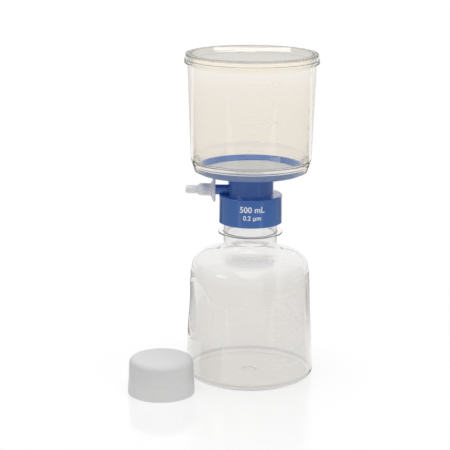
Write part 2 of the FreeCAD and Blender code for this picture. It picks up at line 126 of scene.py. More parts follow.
@dataclass
class Surface:
    """Points in millimetres with the quads and triangles that join them."""

    points: np.ndarray
    quads: np.ndarray
    triangles: np.ndarray

    @classmethod
    def of_grid(cls, grid: np.ndarray, closed_rows: bool = False) -> "Surface":
        """Join a grid of points, closed round its columns, and draw a row that is one point to a pole.

        Args:
            grid: Points as an array of rows, columns and coordinates.
            closed_rows: Whether the last row joins the first.

        Returns:
            The surface, with its faces outwards if it is closed.
        """
        rows, columns = grid.shape[:2]
        index = np.arange(rows * columns).reshape(rows, columns)
        poles = np.ptp(grid, axis=1).max(axis=1) < SAME
        index[poles] = index[poles][:, :1]
        if closed_rows:
            index = np.concatenate([index, index[:1]])
        right = np.roll(index, -1, axis=1)
        quads = np.stack([index[:-1], right[:-1], right[1:], index[1:]], axis=-1).reshape(-1, 4)
        fan_below = quads[:, 0] == quads[:, 1]
        fan_above = quads[:, 2] == quads[:, 3]
        triangles = np.concatenate([quads[fan_below][:, 1:], quads[fan_above & ~fan_below][:, :3]])
        return cls(grid.reshape(-1, 3), quads[~(fan_below | fan_above)], triangles).outward()

    @classmethod
    def joined(cls, parts: Iterable["Surface"]) -> "Surface":
        """Put several surfaces into one.

        Args:
            parts: The surfaces.

        Returns:
            One surface with all their points and faces.
        """
        points, quads, triangles, count = [], [], [], 0
        for part in parts:
            points.append(part.points)
            quads.append(part.quads + count)
            triangles.append(part.triangles + count)
            count += len(part.points)
        return cls(np.concatenate(points), np.concatenate(quads), np.concatenate(triangles))

    def outward(self) -> "Surface":
        """Turn the faces outwards, by the sign of the volume that they enclose.

        Returns:
            The surface itself.
        """
        faces = np.concatenate([self.triangles, self.quads[:, :3], self.quads[:, [0, 2, 3]]])
        a, b, c = (self.points[faces[:, i]] for i in range(3))
        if np.einsum("ij,ij->", a, np.cross(b, c)) < 0:
            self.quads = self.quads[:, ::-1]
            self.triangles = self.triangles[:, ::-1]
        return self

    def moved(self, offset: Sequence[float]) -> "Surface":
        """Shift the surface."""
        return Surface(self.points + np.array(offset), self.quads, self.triangles)

    def laid_along_arm(self, height: float) -> "Surface":
        """Lay a piece turned about +Z along -X at a height, with its own height as the distance out."""
        x, y, z = self.points.T
        return Surface(np.stack([-z, y, x + height], axis=1), self.quads, self.triangles)

    def mesh(self, name: str) -> bpy.types.Mesh:
        """Make a smooth shaded mesh in metres, without the points that no face uses.

        Args:
            name: The mesh's name.

        Returns:
            The mesh.
        """
        used, faces = np.unique(
            np.concatenate([self.quads.ravel(), self.triangles.ravel()]), return_inverse=True
        )
        quads = faces[: self.quads.size].reshape(-1, 4)
        triangles = faces[self.quads.size :].reshape(-1, 3)
        mesh = bpy.data.meshes.new(name)
        mesh.from_pydata((self.points[used] * MM).tolist(), [], quads.tolist() + triangles.tolist())
        mesh.polygons.foreach_set("use_smooth", np.ones(len(mesh.polygons), dtype=bool))
        mesh.update()
        return mesh


def rounded(corners: Sequence[Corner], closed: bool = False) -> np.ndarray:
    """Sample an outline of straight runs with an arc at each corner.

    An arc's centre is on its corner's bisector, and its fillet is limited by the runs beside it. A
    straight run has points a hold away from its ends, and between them points evenly spaced.

    Args:
        corners: The corners in order. A corner on the axis stays sharp.
        closed: Whether the last corner joins the first.

    Returns:
        The points as an array of radius and height.
    """
    places = np.array([(corner.radius, corner.height) for corner in corners])
    count = len(corners)
    stops = []
    for i, corner in enumerate(corners):
        is_end = not closed and i in (0, count - 1)
        if is_end or corner.radius == 0:
            stops.append(places[i][None])
            continue
        back = places[i - 1] - places[i]
        ahead = places[(i + 1) % count] - places[i]
        room = ARC_ROOM * min(np.linalg.norm(back), np.linalg.norm(ahead))
        back, ahead = back / np.linalg.norm(back), ahead / np.linalg.norm(ahead)
        half = math.acos(float(np.clip(back @ ahead, -1, 1))) / 2
        if half > STRAIGHT:
            stops.append(places[i][None])
            continue
        reach = min(corner.fillet / math.tan(half), room)
        fillet = reach * math.tan(half)
        bisector = (back + ahead) / np.linalg.norm(back + ahead)
        across = back - (back @ bisector) * bisector
        across /= np.linalg.norm(across)
        turn = math.pi / 2 - half
        steps = max(2, math.ceil(2 * turn / ARC_STEP))
        angle = np.linspace(turn, -turn, steps + 1)[:, None]
        centre = places[i] + bisector * (fillet / math.sin(half))
        stops.append(centre + fillet * (np.sin(angle) * across - np.cos(angle) * bisector))
    pieces = []
    for i, stop in enumerate(stops):
        pieces.append(stop)
        if not closed and i == count - 1:
            break
        start, end = stop[-1], stops[(i + 1) % count][0]
        length = float(np.linalg.norm(end - start))
        if length > 3 * HOLD:
            inner = max(1, math.ceil((length - 2 * HOLD) / corners[i].spacing))
            along = np.linspace(HOLD, length - HOLD, inner + 1)[:, None] / length
            pieces.append(start + along * (end - start))
    return np.concatenate(pieces)


def bearings(segments: int = SEGMENTS) -> np.ndarray:
    """Angles of the points round a turned piece, in one row."""
    return np.linspace(0, 2 * math.pi, segments, endpoint=False)[None]


def revolved(radius: np.ndarray, height: np.ndarray, angle: np.ndarray) -> np.ndarray:
    """Turn radii about +Z: each point is at radius cos angle, radius sin angle and its height.

    Args:
        radius: Radii of the points.
        height: Their heights.
        angle: Their bearings in radians. The three arrays are of shapes that fit one grid.

    Returns:
        The grid, with its coordinates along the last axis.
    """
    shape = np.broadcast_shapes(radius.shape, height.shape, angle.shape)
    return np.stack(
        [
            np.broadcast_to(radius * np.cos(angle), shape),
            np.broadcast_to(radius * np.sin(angle), shape),
            np.broadcast_to(height, shape),
        ],
        axis=-1,
    )


def turned(corners: Sequence[Corner], segments: int = SEGMENTS) -> Surface:
    """Turn an outline about +Z. One that starts on the axis ends there, and any other is closed.

    Args:
        corners: The outline's corners in order.
        segments: How many points there are round it.

    Returns:
        The turned surface.
    """
    closed = corners[0].radius > 0
    outline = rounded(corners, closed)
    grid = revolved(outline[:, :1], outline[:, 1:], bearings(segments))
    return Surface.of_grid(grid, closed_rows=closed)


def smooth_step(value: np.ndarray) -> np.ndarray:
    """Rise from 0 to 1 as the value does, level at both ends: 3 t squared less 2 t cubed."""
    t = np.clip(value, 0, 1)
    return t * t * (3 - 2 * t)


def smooth_least(first: np.ndarray, second: np.ndarray, blend: float) -> np.ndarray:
    """The lesser of two values, rounded where they are within a blend of each other."""
    near = np.maximum(blend - np.abs(first - second), 0)
    return np.minimum(first, second) - near * near / (4 * blend)


@dataclass(frozen=True)
class ScrewThread:
    """Single-start right-handed thread: a rounded ridge that climbs one lead in each turn."""

    lead: float = 4.0
    run_out: float = 2.0
    flank_foot: float = 0.1  # cosine of the place in the lead where the ridge starts to rise
    flank_rise: float = 0.6  # by how much more the cosine grows up to the ridge's top

    def ridge(
        self, angle: np.ndarray, height: np.ndarray, low: float, high: float, phase: float = 0.0
    ) -> np.ndarray:
        """Height of the ridge from 0 to 1, fading out over a run-out at both ends.

        Args:
            angle: Bearings in radians.
            height: Heights of the same points.
            low: Where the thread starts.
            high: Where it ends.
            phase: Share of a lead by which the ridge is raised.

        Returns:
            A smooth step of the cosine of the place in the lead, times the fades.
        """
        place = height / self.lead - angle / (2 * math.pi) - phase
        tooth = smooth_step((np.cos(2 * math.pi * place) - self.flank_foot) / self.flank_rise)
        return (
            tooth
            * smooth_step((height - low) / self.run_out)
            * smooth_step((high - height) / self.run_out)
        )


THREAD = ScrewThread()


@dataclass(frozen=True)
class Scale:
    """Raised graduations in a column on a turned wall, long at each second line, with numbers."""

    bearing: float
    first: float
    step: float
    count: int
    first_number: int
    number_step: int = 50
    long_sweep: float = 20.0
    short_sweep: float = 14.0
    line_width: float = 0.5
    relief: float = 0.25
    number_height: float = 4.0
    number_gap: float = 1.2
    section_points: int = 12  # round a line's section
    sweep_points: int = 25  # along a line

    def heights(self) -> np.ndarray:
        """Heights of the lines."""
        return self.first + self.step * np.arange(self.count)

    def line(self, wall: "Wall", height: float, sweep: float) -> Surface:
        """Carry a rounded strip along the wall at one height, closed to a point at both ends.

        Args:
            wall: The wall that carries the line.
            height: Height of the line's middle.
            sweep: How far it goes round, in degrees.

        Returns:
            The strip. Its section is half an ellipse as wide as the line and as high as its relief.
        """
        round_strip = np.linspace(0, 2 * math.pi, self.section_points, endpoint=False)
        rise = self.relief * np.maximum(np.sin(round_strip), 0)
        across = self.line_width / 2 * np.cos(round_strip)
        angle = np.radians(self.bearing + np.linspace(0, sweep, self.sweep_points))
        angle = np.concatenate([angle[:1], angle, angle[-1:]])[:, None]
        spread = np.ones_like(angle)
        spread[[0, -1]] = 0
        levels = height + across[None] * spread
        radius = wall.radius(levels) + CONTACT + (rise[None] + CONTACT) * spread
        return Surface.of_grid(revolved(radius, levels, angle))

    def lines(self, wall: "Wall") -> list[Surface]:
        """Make every line, long and short in turn."""
        sweeps = (self.long_sweep, self.short_sweep)
        return [self.line(wall, h, sweeps[i % 2]) for i, h in enumerate(self.heights())]

    def numbers(self, wall: "Wall") -> list[Surface]:
        """Write a number to the right of each long line.

        Args:
            wall: The wall that carries the numbers.

        Returns:
            The numbers, one surface each.
        """
        written = []
        for i, height in enumerate(self.heights()):
            if i % 2 == 0:
                number = Lettering(str(self.first_number + i * self.number_step), self.number_height)
                start = math.radians(self.bearing + self.long_sweep)
                start += self.number_gap / float(wall.radius(np.array(height)))
                written.append(number.bent(wall, height, start, self.relief, Alignment.LEFT))
        return written


class Wall:
    """A turned wall's outer radius as a function of height, between two levels in a straight line."""

    def __init__(self, low: float, low_radius: float, high: float, high_radius: float) -> None:
        """Keep the wall's foot and slope.

        Args:
            low: Height of the lower level.
            low_radius: Radius there.
            high: Height of the upper level.
            high_radius: Radius there.
        """
        self.low = low
        self.low_radius = low_radius
        self.slope = (high_radius - low_radius) / (high - low)

    def radius(self, height: np.ndarray) -> np.ndarray:
        """Outer radius at a height."""
        return self.low_radius + self.slope * (height - self.low)


class Alignment(Enum):
    """Where a line of lettering stands against its start."""

    LEFT = "LEFT"
    CENTRE = "CENTER"


@dataclass(frozen=True)
class Lettering:
    """A short line of plain figures, laid on a wall."""

    text: str
    height: float
    weight: float = 0.0  # how far its strokes are widened on each side, as a share of its height

    def bent(
        self, wall: Wall, level: float, start: float, relief: float, alignment: Alignment
    ) -> Surface:
        """Bend flat letters round a wall: their x becomes an angle, their y a height, their z a relief.

        Args:
            wall: The wall that carries them.
            level: Height of the letters' middle.
            start: Bearing of their start, or of their middle, in radians.
            relief: How far they stand out.
            alignment: Which of the two the start is.

        Returns:
            The letters as one surface, triangles only.
        """
        curve = bpy.data.curves.new("lettering", "FONT")
        curve.body = self.text
        curve.size = self.height / FIGURE_SHARE
        curve.align_x = alignment.value
        curve.extrude = relief / 2
        curve.offset = self.weight * self.height
        curve.resolution_u = 3
        carrier = bpy.data.objects.new("lettering", curve)
        bpy.context.scene.collection.objects.link(carrier)
        bpy.context.view_layer.update()
        mesh = bpy.data.meshes.new_from_object(carrier)
        mesh.calc_loop_triangles()
        flat = np.empty(len(mesh.vertices) * 3, np.float32)
        mesh.vertices.foreach_get("co", flat)
        corners = np.empty(len(mesh.loop_triangles) * 3, np.int32)
        mesh.loop_triangles.foreach_get("vertices", corners)
        bpy.data.objects.remove(carrier)
        bpy.data.curves.remove(curve)
        bpy.data.meshes.remove(mesh)
        x, y, z = flat.reshape(-1, 3).T.astype(float)
        levels = level + y - self.height / 2
        radius = wall.radius(levels)
        points = revolved(radius + CONTACT + relief / 2 + z, levels, start + x / radius)
        return Surface(points, np.empty((0, 4), np.int64), corners.reshape(-1, 3).astype(np.int64))


# ---------------------------------------------------------------- shading


class Graph:
    """The node tree of one material or world, and the one place where nodes are made."""

    def __init__(self, tree: bpy.types.NodeTree) -> None:
        """Empty the tree."""
        self.tree = tree
        tree.nodes.clear()

    def node(self, kind: str, settings: dict[str, Any] | None = None, **sockets: Any) -> bpy.types.Node:
        """Make a node.

        Args:
            kind: The node's type.
            settings: Its settings, set before its sockets. A ramp's stops are (place, colour) pairs.
            sockets: Values, Signals or sockets for its inputs. An underscore stands for a space, and
                s0 to s9 name inputs by number.

        Returns:
            The node.
        """
        node = self.tree.nodes.new(kind)
        for key, value in (settings or {}).items():
            if key == "stops":
                ramp = node.color_ramp
                while len(ramp.elements) < len(value):
                    ramp.elements.new(0.5)
                for element, (place, colour) in zip(ramp.elements, value):
                    element.position = place
                    element.color = (*colour, 1.0)
            else:
                setattr(node, key, value)
        for key, value in sockets.items():
            is_number = len(key) == 2 and key[0] == "s" and key[1].isdigit()
            socket = node.inputs[int(key[1]) if is_number else key.replace("_", " ")]
            if isinstance(value, Signal):
                self.tree.links.new(value.socket, socket)
            elif isinstance(value, bpy.types.NodeSocket):
                self.tree.links.new(value, socket)
            elif isinstance(value, tuple) and len(value) == 3 and len(socket.default_value) == 4:
                socket.default_value = (*value, 1.0)
            else:
                socket.default_value = value
        return node

    def signal(
        self, kind: str, output: str | int, settings: dict[str, Any] | None = None, **sockets: Any
    ) -> "Signal":
        """Make a node and take one of its outputs."""
        return Signal(self, self.node(kind, settings, **sockets).outputs[output])

    def rays(self, *kinds: str) -> "Signal":
        """1 for the rays of the given kinds, and 0 for all others."""
        outputs = self.node("ShaderNodeLightPath").outputs
        return reduce(or_, (Signal(self, outputs[kind]) for kind in kinds))

    def place(self) -> "Signal":
        """Place on the object, in metres."""
        return self.signal("ShaderNodeTexCoord", "Object")

    def noise(self, scale: float, detail: float = 3.0, vector: "Signal | None" = None) -> "Signal":
        """Soft noise from 0 to 1, by place on the object."""
        vector = vector or self.place()
        return self.signal("ShaderNodeTexNoise", "Fac", Vector=vector, Scale=scale, Detail=detail)

    def stretched(self, scale: tuple[float, float, float]) -> "Signal":
        """Place on the object, scaled along each axis."""
        return self.signal("ShaderNodeMapping", "Vector", Vector=self.place(), Scale=scale)

    def mixed(self, factor: "Signal | float", first: Any, second: Any) -> "Signal":
        """Colour between two, by a factor."""
        return self.signal("ShaderNodeMix", 2, {"data_type": "RGBA"}, s0=factor, s6=first, s7=second)

    def bump(self, height: "Signal", strength: float, distance: float) -> "Signal":
        """Normal of a relief, given its height from 0 to 1 and its depth in metres."""
        return self.signal("ShaderNodeBump", "Normal", Strength=strength, Distance=distance, Height=height)

    def shader(self, kind: str, **sockets: Any) -> bpy.types.NodeSocket:
        """Make a shader node and take its output."""
        return self.node(kind, **sockets).outputs[0]

    def blended(self, factor: "Signal", first: Any, second: Any) -> bpy.types.NodeSocket:
        """Blend two shaders by a factor."""
        return self.shader("ShaderNodeMixShader", s0=factor, s1=first, s2=second)

    def finish(self, **shaders: Any) -> None:
        """Send shaders to the material's output."""
        self.node("ShaderNodeOutputMaterial", **shaders)


class Signal:
    """A socket whose arithmetic adds Math nodes."""

    def __init__(self, graph: Graph, socket: bpy.types.NodeSocket) -> None:
        """Keep the socket and the graph that it belongs to."""
        self.graph = graph
        self.socket = socket

    def math(self, operation: str, first: Any, second: Any) -> "Signal":
        """Add a Math node on two values."""
        return self.graph.signal("ShaderNodeMath", 0, {"operation": operation}, s0=first, s1=second)

    def __add__(self, other: Any) -> "Signal":
        """Sum."""
        return self.math("ADD", self, other)

    __radd__ = __add__

    def __sub__(self, other: Any) -> "Signal":
        """Difference."""
        return self.math("SUBTRACT", self, other)

    def __rsub__(self, other: Any) -> "Signal":
        """Difference from a value, such as 1 - mask."""
        return self.math("SUBTRACT", other, self)

    def __mul__(self, other: Any) -> "Signal":
        """Product."""
        return self.math("MULTIPLY", self, other)

    __rmul__ = __mul__

    def __truediv__(self, other: Any) -> "Signal":
        """Quotient."""
        return self.math("DIVIDE", self, other)

    def __rtruediv__(self, other: Any) -> "Signal":
        """Quotient of a value by this signal."""
        return self.math("DIVIDE", other, self)

    def __or__(self, other: Any) -> "Signal":
        """The greater of two."""
        return self.math("MAXIMUM", self, other)

    __ror__ = __or__

    def ramp(self, low: float, high: float) -> "Signal":
        """Smooth rise from 0 at low to 1 at high."""
        settings = {"interpolation_type": "SMOOTHSTEP"}
        return self.graph.signal("ShaderNodeMapRange", "Result", settings, s0=self, s1=low, s2=high)


class Finish:
    """A finish that makes its material once. Its name is none of the slots' own."""

    name: str

    def material(self) -> bpy.types.Material:
        """Make the material on first use, and find it again later.

        Returns:
            The finish's material.
        """
        found = bpy.data.materials.get(self.name)
        if found is not None:
            return found
        material = bpy.data.materials.new(self.name)
        material.use_nodes = True
        self.dress(Graph(material.node_tree))
        return material

    def dress(self, graph: Graph) -> None:
        """Fill the material's graph.

        Args:
            graph: The material's empty graph.
        """
        raise NotImplementedError


@dataclass(frozen=True)
class ClearStyrene(Finish):
    """Clear styrene with moulding flow lines, light handling haze and a tint that follows the height.

    The tint is partly the plastic's own colour and partly painted light and shade: bands painted paler by
    height stand in for light, and bands painted deeper stand in for shade.
    """

    name: str
    tints_and_painted_shade: tuple[tuple[float, tuple[float, float, float]], ...]  # heights in millimetres and colours: the plastic's tint with painted light and shade by height
    depth_tint: tuple[float, float, float]  # of the light that the wall takes in on its way through
    density: float
    cast: tuple[float, float, float] = (0.97, 0.965, 0.955)  # tint of the light in its shadow
    ior: float = 1.59
    tallest: float = 300.0  # height in millimetres where the ramp of tints and painted shade ends

    def dress(self, graph: Graph) -> None:
        """Refract light, absorb it in the wall and let shadow light through with the tint.

        Args:
            graph: The material's empty graph.
        """
        flow = graph.noise(1.0, 2.0, graph.stretched((30.0, 30.0, 9.0)))
        haze = graph.noise(140.0, 4.0).ramp(0.45, 0.8)
        # the colour ramp by height paints paler and deeper bands, which stand in for light and shade
        height = graph.signal("ShaderNodeSeparateXYZ", "Z", Vector=graph.place())
        stops = [(level / self.tallest, colour) for level, colour in self.tints_and_painted_shade]
        share = height / (self.tallest * MM)
        tint = graph.signal("ShaderNodeValToRGB", "Color", {"stops": stops}, s0=share)
        clear = graph.shader(
            "ShaderNodeBsdfPrincipled",
            Base_Color=tint,
            Roughness=0.008 + haze * 0.02,
            IOR=self.ior,
            Transmission_Weight=1.0,
            Normal=graph.bump(flow, 0.12, 0.0002),
        )
        through = graph.shader("ShaderNodeBsdfTransparent", Color=self.cast)
        passing = graph.rays("Is Shadow Ray", "Is Diffuse Ray")
        depth = {"Color": self.depth_tint, "Density": self.density}
        graph.finish(
            Surface=graph.blended(passing, clear, through),
            Volume=graph.shader("ShaderNodeVolumeAbsorption", **depth),
        )


@dataclass(frozen=True)
class FrostedMark(Finish):
    """Raised mark whose matt face scatters light, partly see-through."""

    name: str
    colour: tuple[float, float, float]
    glow: float  # painted light: the mark glows evenly in its own colour, though it is no lamp
    cover: float = 0.2

    def dress(self, graph: Graph) -> None:
        """Cover the wall behind by a share that varies a little.

        Args:
            graph: The material's empty graph.
        """
        grain = graph.noise(900.0, 2.0)
        shader = graph.shader(
            "ShaderNodeBsdfPrincipled",
            Base_Color=graph.mixed(grain, self.colour, tuple(0.94 * c for c in self.colour)),
            Roughness=0.45 + grain * 0.1,
            Alpha=self.cover + grain * 0.1,
            # Emission is painted light that brightens the mark
            Emission_Color=self.colour,
            Emission_Strength=self.glow,
            Normal=graph.bump(grain, 0.2, 0.00002),
        )
        graph.finish(Surface=shader)


@dataclass(frozen=True)
class MouldedPlastic(Finish):
    """Opaque moulded plastic with a fine skin, soft mottling and faint scuffs."""

    name: str
    colour: tuple[float, float, float]
    roughness: float = 0.3
    mottle: float = 0.06
    subsurface: float = 0.0
    clearness: float = 0.0
    glow: float = 0.0  # painted light: the plastic glows evenly in its own colour, though it is no lamp
    coat: float = 0.0
    grain_scale: float = 1200.0
    grain_depth: float = 0.00003

    def dress(self, graph: Graph) -> None:
        """Mottle the colour, scuff the gloss and roughen the skin.

        Args:
            graph: The material's empty graph.
        """
        cloud = graph.noise(35.0, 3.0)
        grain = graph.noise(self.grain_scale, 3.0)
        scuff = graph.noise(1.0, 5.0, graph.stretched((60.0, 60.0, 400.0))).ramp(0.55, 0.8)
        darker = tuple(c * (1 - self.mottle) for c in self.colour)
        lighter = tuple(min(c * (1 + self.mottle), 1.0) for c in self.colour)
        shader = graph.shader(
            "ShaderNodeBsdfPrincipled",
            Base_Color=graph.mixed(cloud, darker, lighter),
            Roughness=self.roughness + grain * 0.06 + scuff * 0.08,
            Subsurface_Weight=self.subsurface,
            Subsurface_Radius=(0.004, 0.004, 0.004),
            Transmission_Weight=self.clearness,
            # Emission is painted light, an even glow that brightens the part
            Emission_Color=self.colour,
            Emission_Strength=self.glow,
            Coat_Weight=self.coat,
            Normal=graph.bump(grain, 0.25, self.grain_depth),
        )
        graph.finish(Surface=shader)


@dataclass(frozen=True)
class MembraneFilm(Finish):
    """White filter membrane: a matt film with a fine open grain."""

    name: str = "membrane_grain"
    colour: tuple[float, float, float] = (0.67, 0.71, 0.74)

    def dress(self, graph: Graph) -> None:
        """Scatter pale and dark grains at the scale of fine paper.

        Args:
            graph: The material's empty graph.
        """
        grain = graph.noise(2500.0, 5.0)
        cloud = graph.noise(90.0, 3.0)
        darker = tuple(0.93 * c for c in self.colour)
        shader = graph.shader(
            "ShaderNodeBsdfPrincipled",
            Base_Color=graph.mixed(grain * 0.6 + cloud * 0.4, darker, self.colour),
            Roughness=0.75 + grain * 0.15,
            Normal=graph.bump(grain, 0.5, 0.00002),
        )
        graph.finish(Surface=shader)


@dataclass(frozen=True)
class FibreWad(Finish):
    """Packed white fibre with tangled streaks."""

    name: str = "fibre_wad"

    def dress(self, graph: Graph) -> None:
        """Streak the colour and raise the fibres.

        Args:
            graph: The material's empty graph.
        """
        fibre = graph.noise(1.0, 8.0, graph.stretched((900.0, 3500.0, 3500.0)))
        shader = graph.shader(
            "ShaderNodeBsdfPrincipled",
            Base_Color=graph.mixed(fibre, (0.62, 0.62, 0.6), (0.92, 0.92, 0.9)),
            Roughness=0.85 + fibre * 0.1,
            Normal=graph.bump(fibre, 0.9, 0.0001),
        )
        graph.finish(Surface=shader)


# The chamber's tints grow paler towards the rim flange: painted light over the plastic's own tint
CHAMBER_STYRENE = ClearStyrene(
    "chamber_styrene",
    tints_and_painted_shade=(
        (175.0, (0.928, 0.897, 0.846)),
        (215.0, (0.942, 0.908, 0.858)),
        (240.0, (0.965, 0.935, 0.895)),
        (248.0, (0.985, 0.968, 0.94)),
    ),
    depth_tint=(0.72, 0.69, 0.65),
    density=34.0,
)
LID_STYRENE = ClearStyrene(
    "lid_styrene",
    tints_and_painted_shade=((250.0, (0.99, 0.97, 0.92)), (260.0, (0.99, 0.97, 0.92))),
    depth_tint=(0.72, 0.69, 0.65),
    density=12.0,
)
# The bottle's tints paint light and shade by height over the plastic's own tint: a pale rim at the very
# foot and a pale band over the shoulder and lower neck are painted light, a dark band just above the foot
# is painted shade, and the lower body is painted a little darker
BOTTLE_STYRENE = ClearStyrene(
    "bottle_styrene",
    tints_and_painted_shade=(
        (2.3, (1.0, 0.99, 0.975)),
        (2.5, (0.70, 0.69, 0.675)),
        (3.4, (0.70, 0.69, 0.675)),
        (5.5, (0.895, 0.885, 0.870)),
        (14.0, (0.90, 0.89, 0.875)),
        (42.0, (0.915, 0.900, 0.883)),
        (82.0, (0.912, 0.900, 0.884)),
        (98.0, (1.0, 1.0, 1.0)),
        (113.0, (1.0, 1.0, 1.0)),
        (120.0, (0.93, 0.925, 0.92)),
    ),
    depth_tint=(0.50, 0.49, 0.47),
    density=50.0,
)
BLUE_STYRENE = MouldedPlastic("blue_gloss", (0.058, 0.20, 0.61), roughness=0.15, coat=0.8)
# The nozzle's glow is painted light that brightens it
NATURAL_POLYPROPYLENE = MouldedPlastic(
    "natural_satin", (0.95, 0.955, 0.97), roughness=0.38, clearness=0.45, glow=0.045
)
WHITE_POLYETHYLENE = MouldedPlastic(
    "white_satin", (0.79, 0.79, 0.785), roughness=0.42, mottle=0.02, subsurface=0.2
)
GASKET_RUBBER = MouldedPlastic("soft_rubber", (0.6, 0.6, 0.58), roughness=0.6, mottle=0.04)
# The print's glow is painted light that brightens it
WHITE_INK = MouldedPlastic("white_ink", (0.91, 0.94, 0.98), roughness=0.5, mottle=0.03, glow=0.16)
SEAL_FILM = MouldedPlastic("seal_film", (0.50, 0.57, 0.72), roughness=0.35, mottle=0.05)
# The marks' glow is painted light that brightens them
CHAMBER_MARK = FrostedMark("chamber_mark", (0.99, 0.95, 0.87), glow=0.24)
BOTTLE_MARK = FrostedMark("bottle_mark", (0.87, 0.86, 0.85), glow=0.25)
MEMBRANE_FILM = MembraneFilm()
PLUG_FIBRE = FibreWad()


class Slot(Enum):
    """Material slots of the record."""

    CLEAR = "clear_styrene"
    BLUE = "blue_styrene"
    MEMBRANE = "membrane_film"
    FIBRE = "plug_fibre"
    NATURAL = "natural_polypropylene"
    GASKET = "gasket_rubber"
    WHITE = "white_polyethylene"


class Body(Enum):
    """Bodies that pieces ride on."""

    BOTTLE = "bottle"
    GASKET = "gasket"
    HEAD = "head"
    LID = "lid"
    ADAPTER = "adapter"


@dataclass
class Piece:
    """One finished piece: its surface, its finish, its body and the solid that it stands for."""

    name: str
    surface: Surface
    finish: Finish
    body: Body
    slot: Slot
    stands_for: str | None = None

    def build(self) -> None:
        """Put the piece into the scene and say what it is."""
        mesh = self.surface.mesh(self.name)
        mesh.materials.append(self.finish.material())
        piece = bpy.data.objects.new(self.name, mesh)
        bpy.context.scene.collection.objects.link(piece)
        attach(piece, self.body.value)
        if self.stands_for:
            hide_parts(self.stands_for)
        LOG.info("%s: %d faces on %s", self.name, len(mesh.polygons), self.body.value)


class Assembly:
    """A part of the unit: what it is made of, sized by the box of the solid that it stands for."""

    node: ClassVar[str]

    @cached_property
    def extent(self) -> Extent:
        """Box of the solid."""
        return Extent.of(self.node)

    def pieces(self) -> list[Piece]:
        """Its finished pieces."""
        raise NotImplementedError

    def build(self) -> None:
        """Put every piece into the scene."""
        for piece in self.pieces():
            piece.build()


# ---------------------------------------------------------------- the unit's pieces


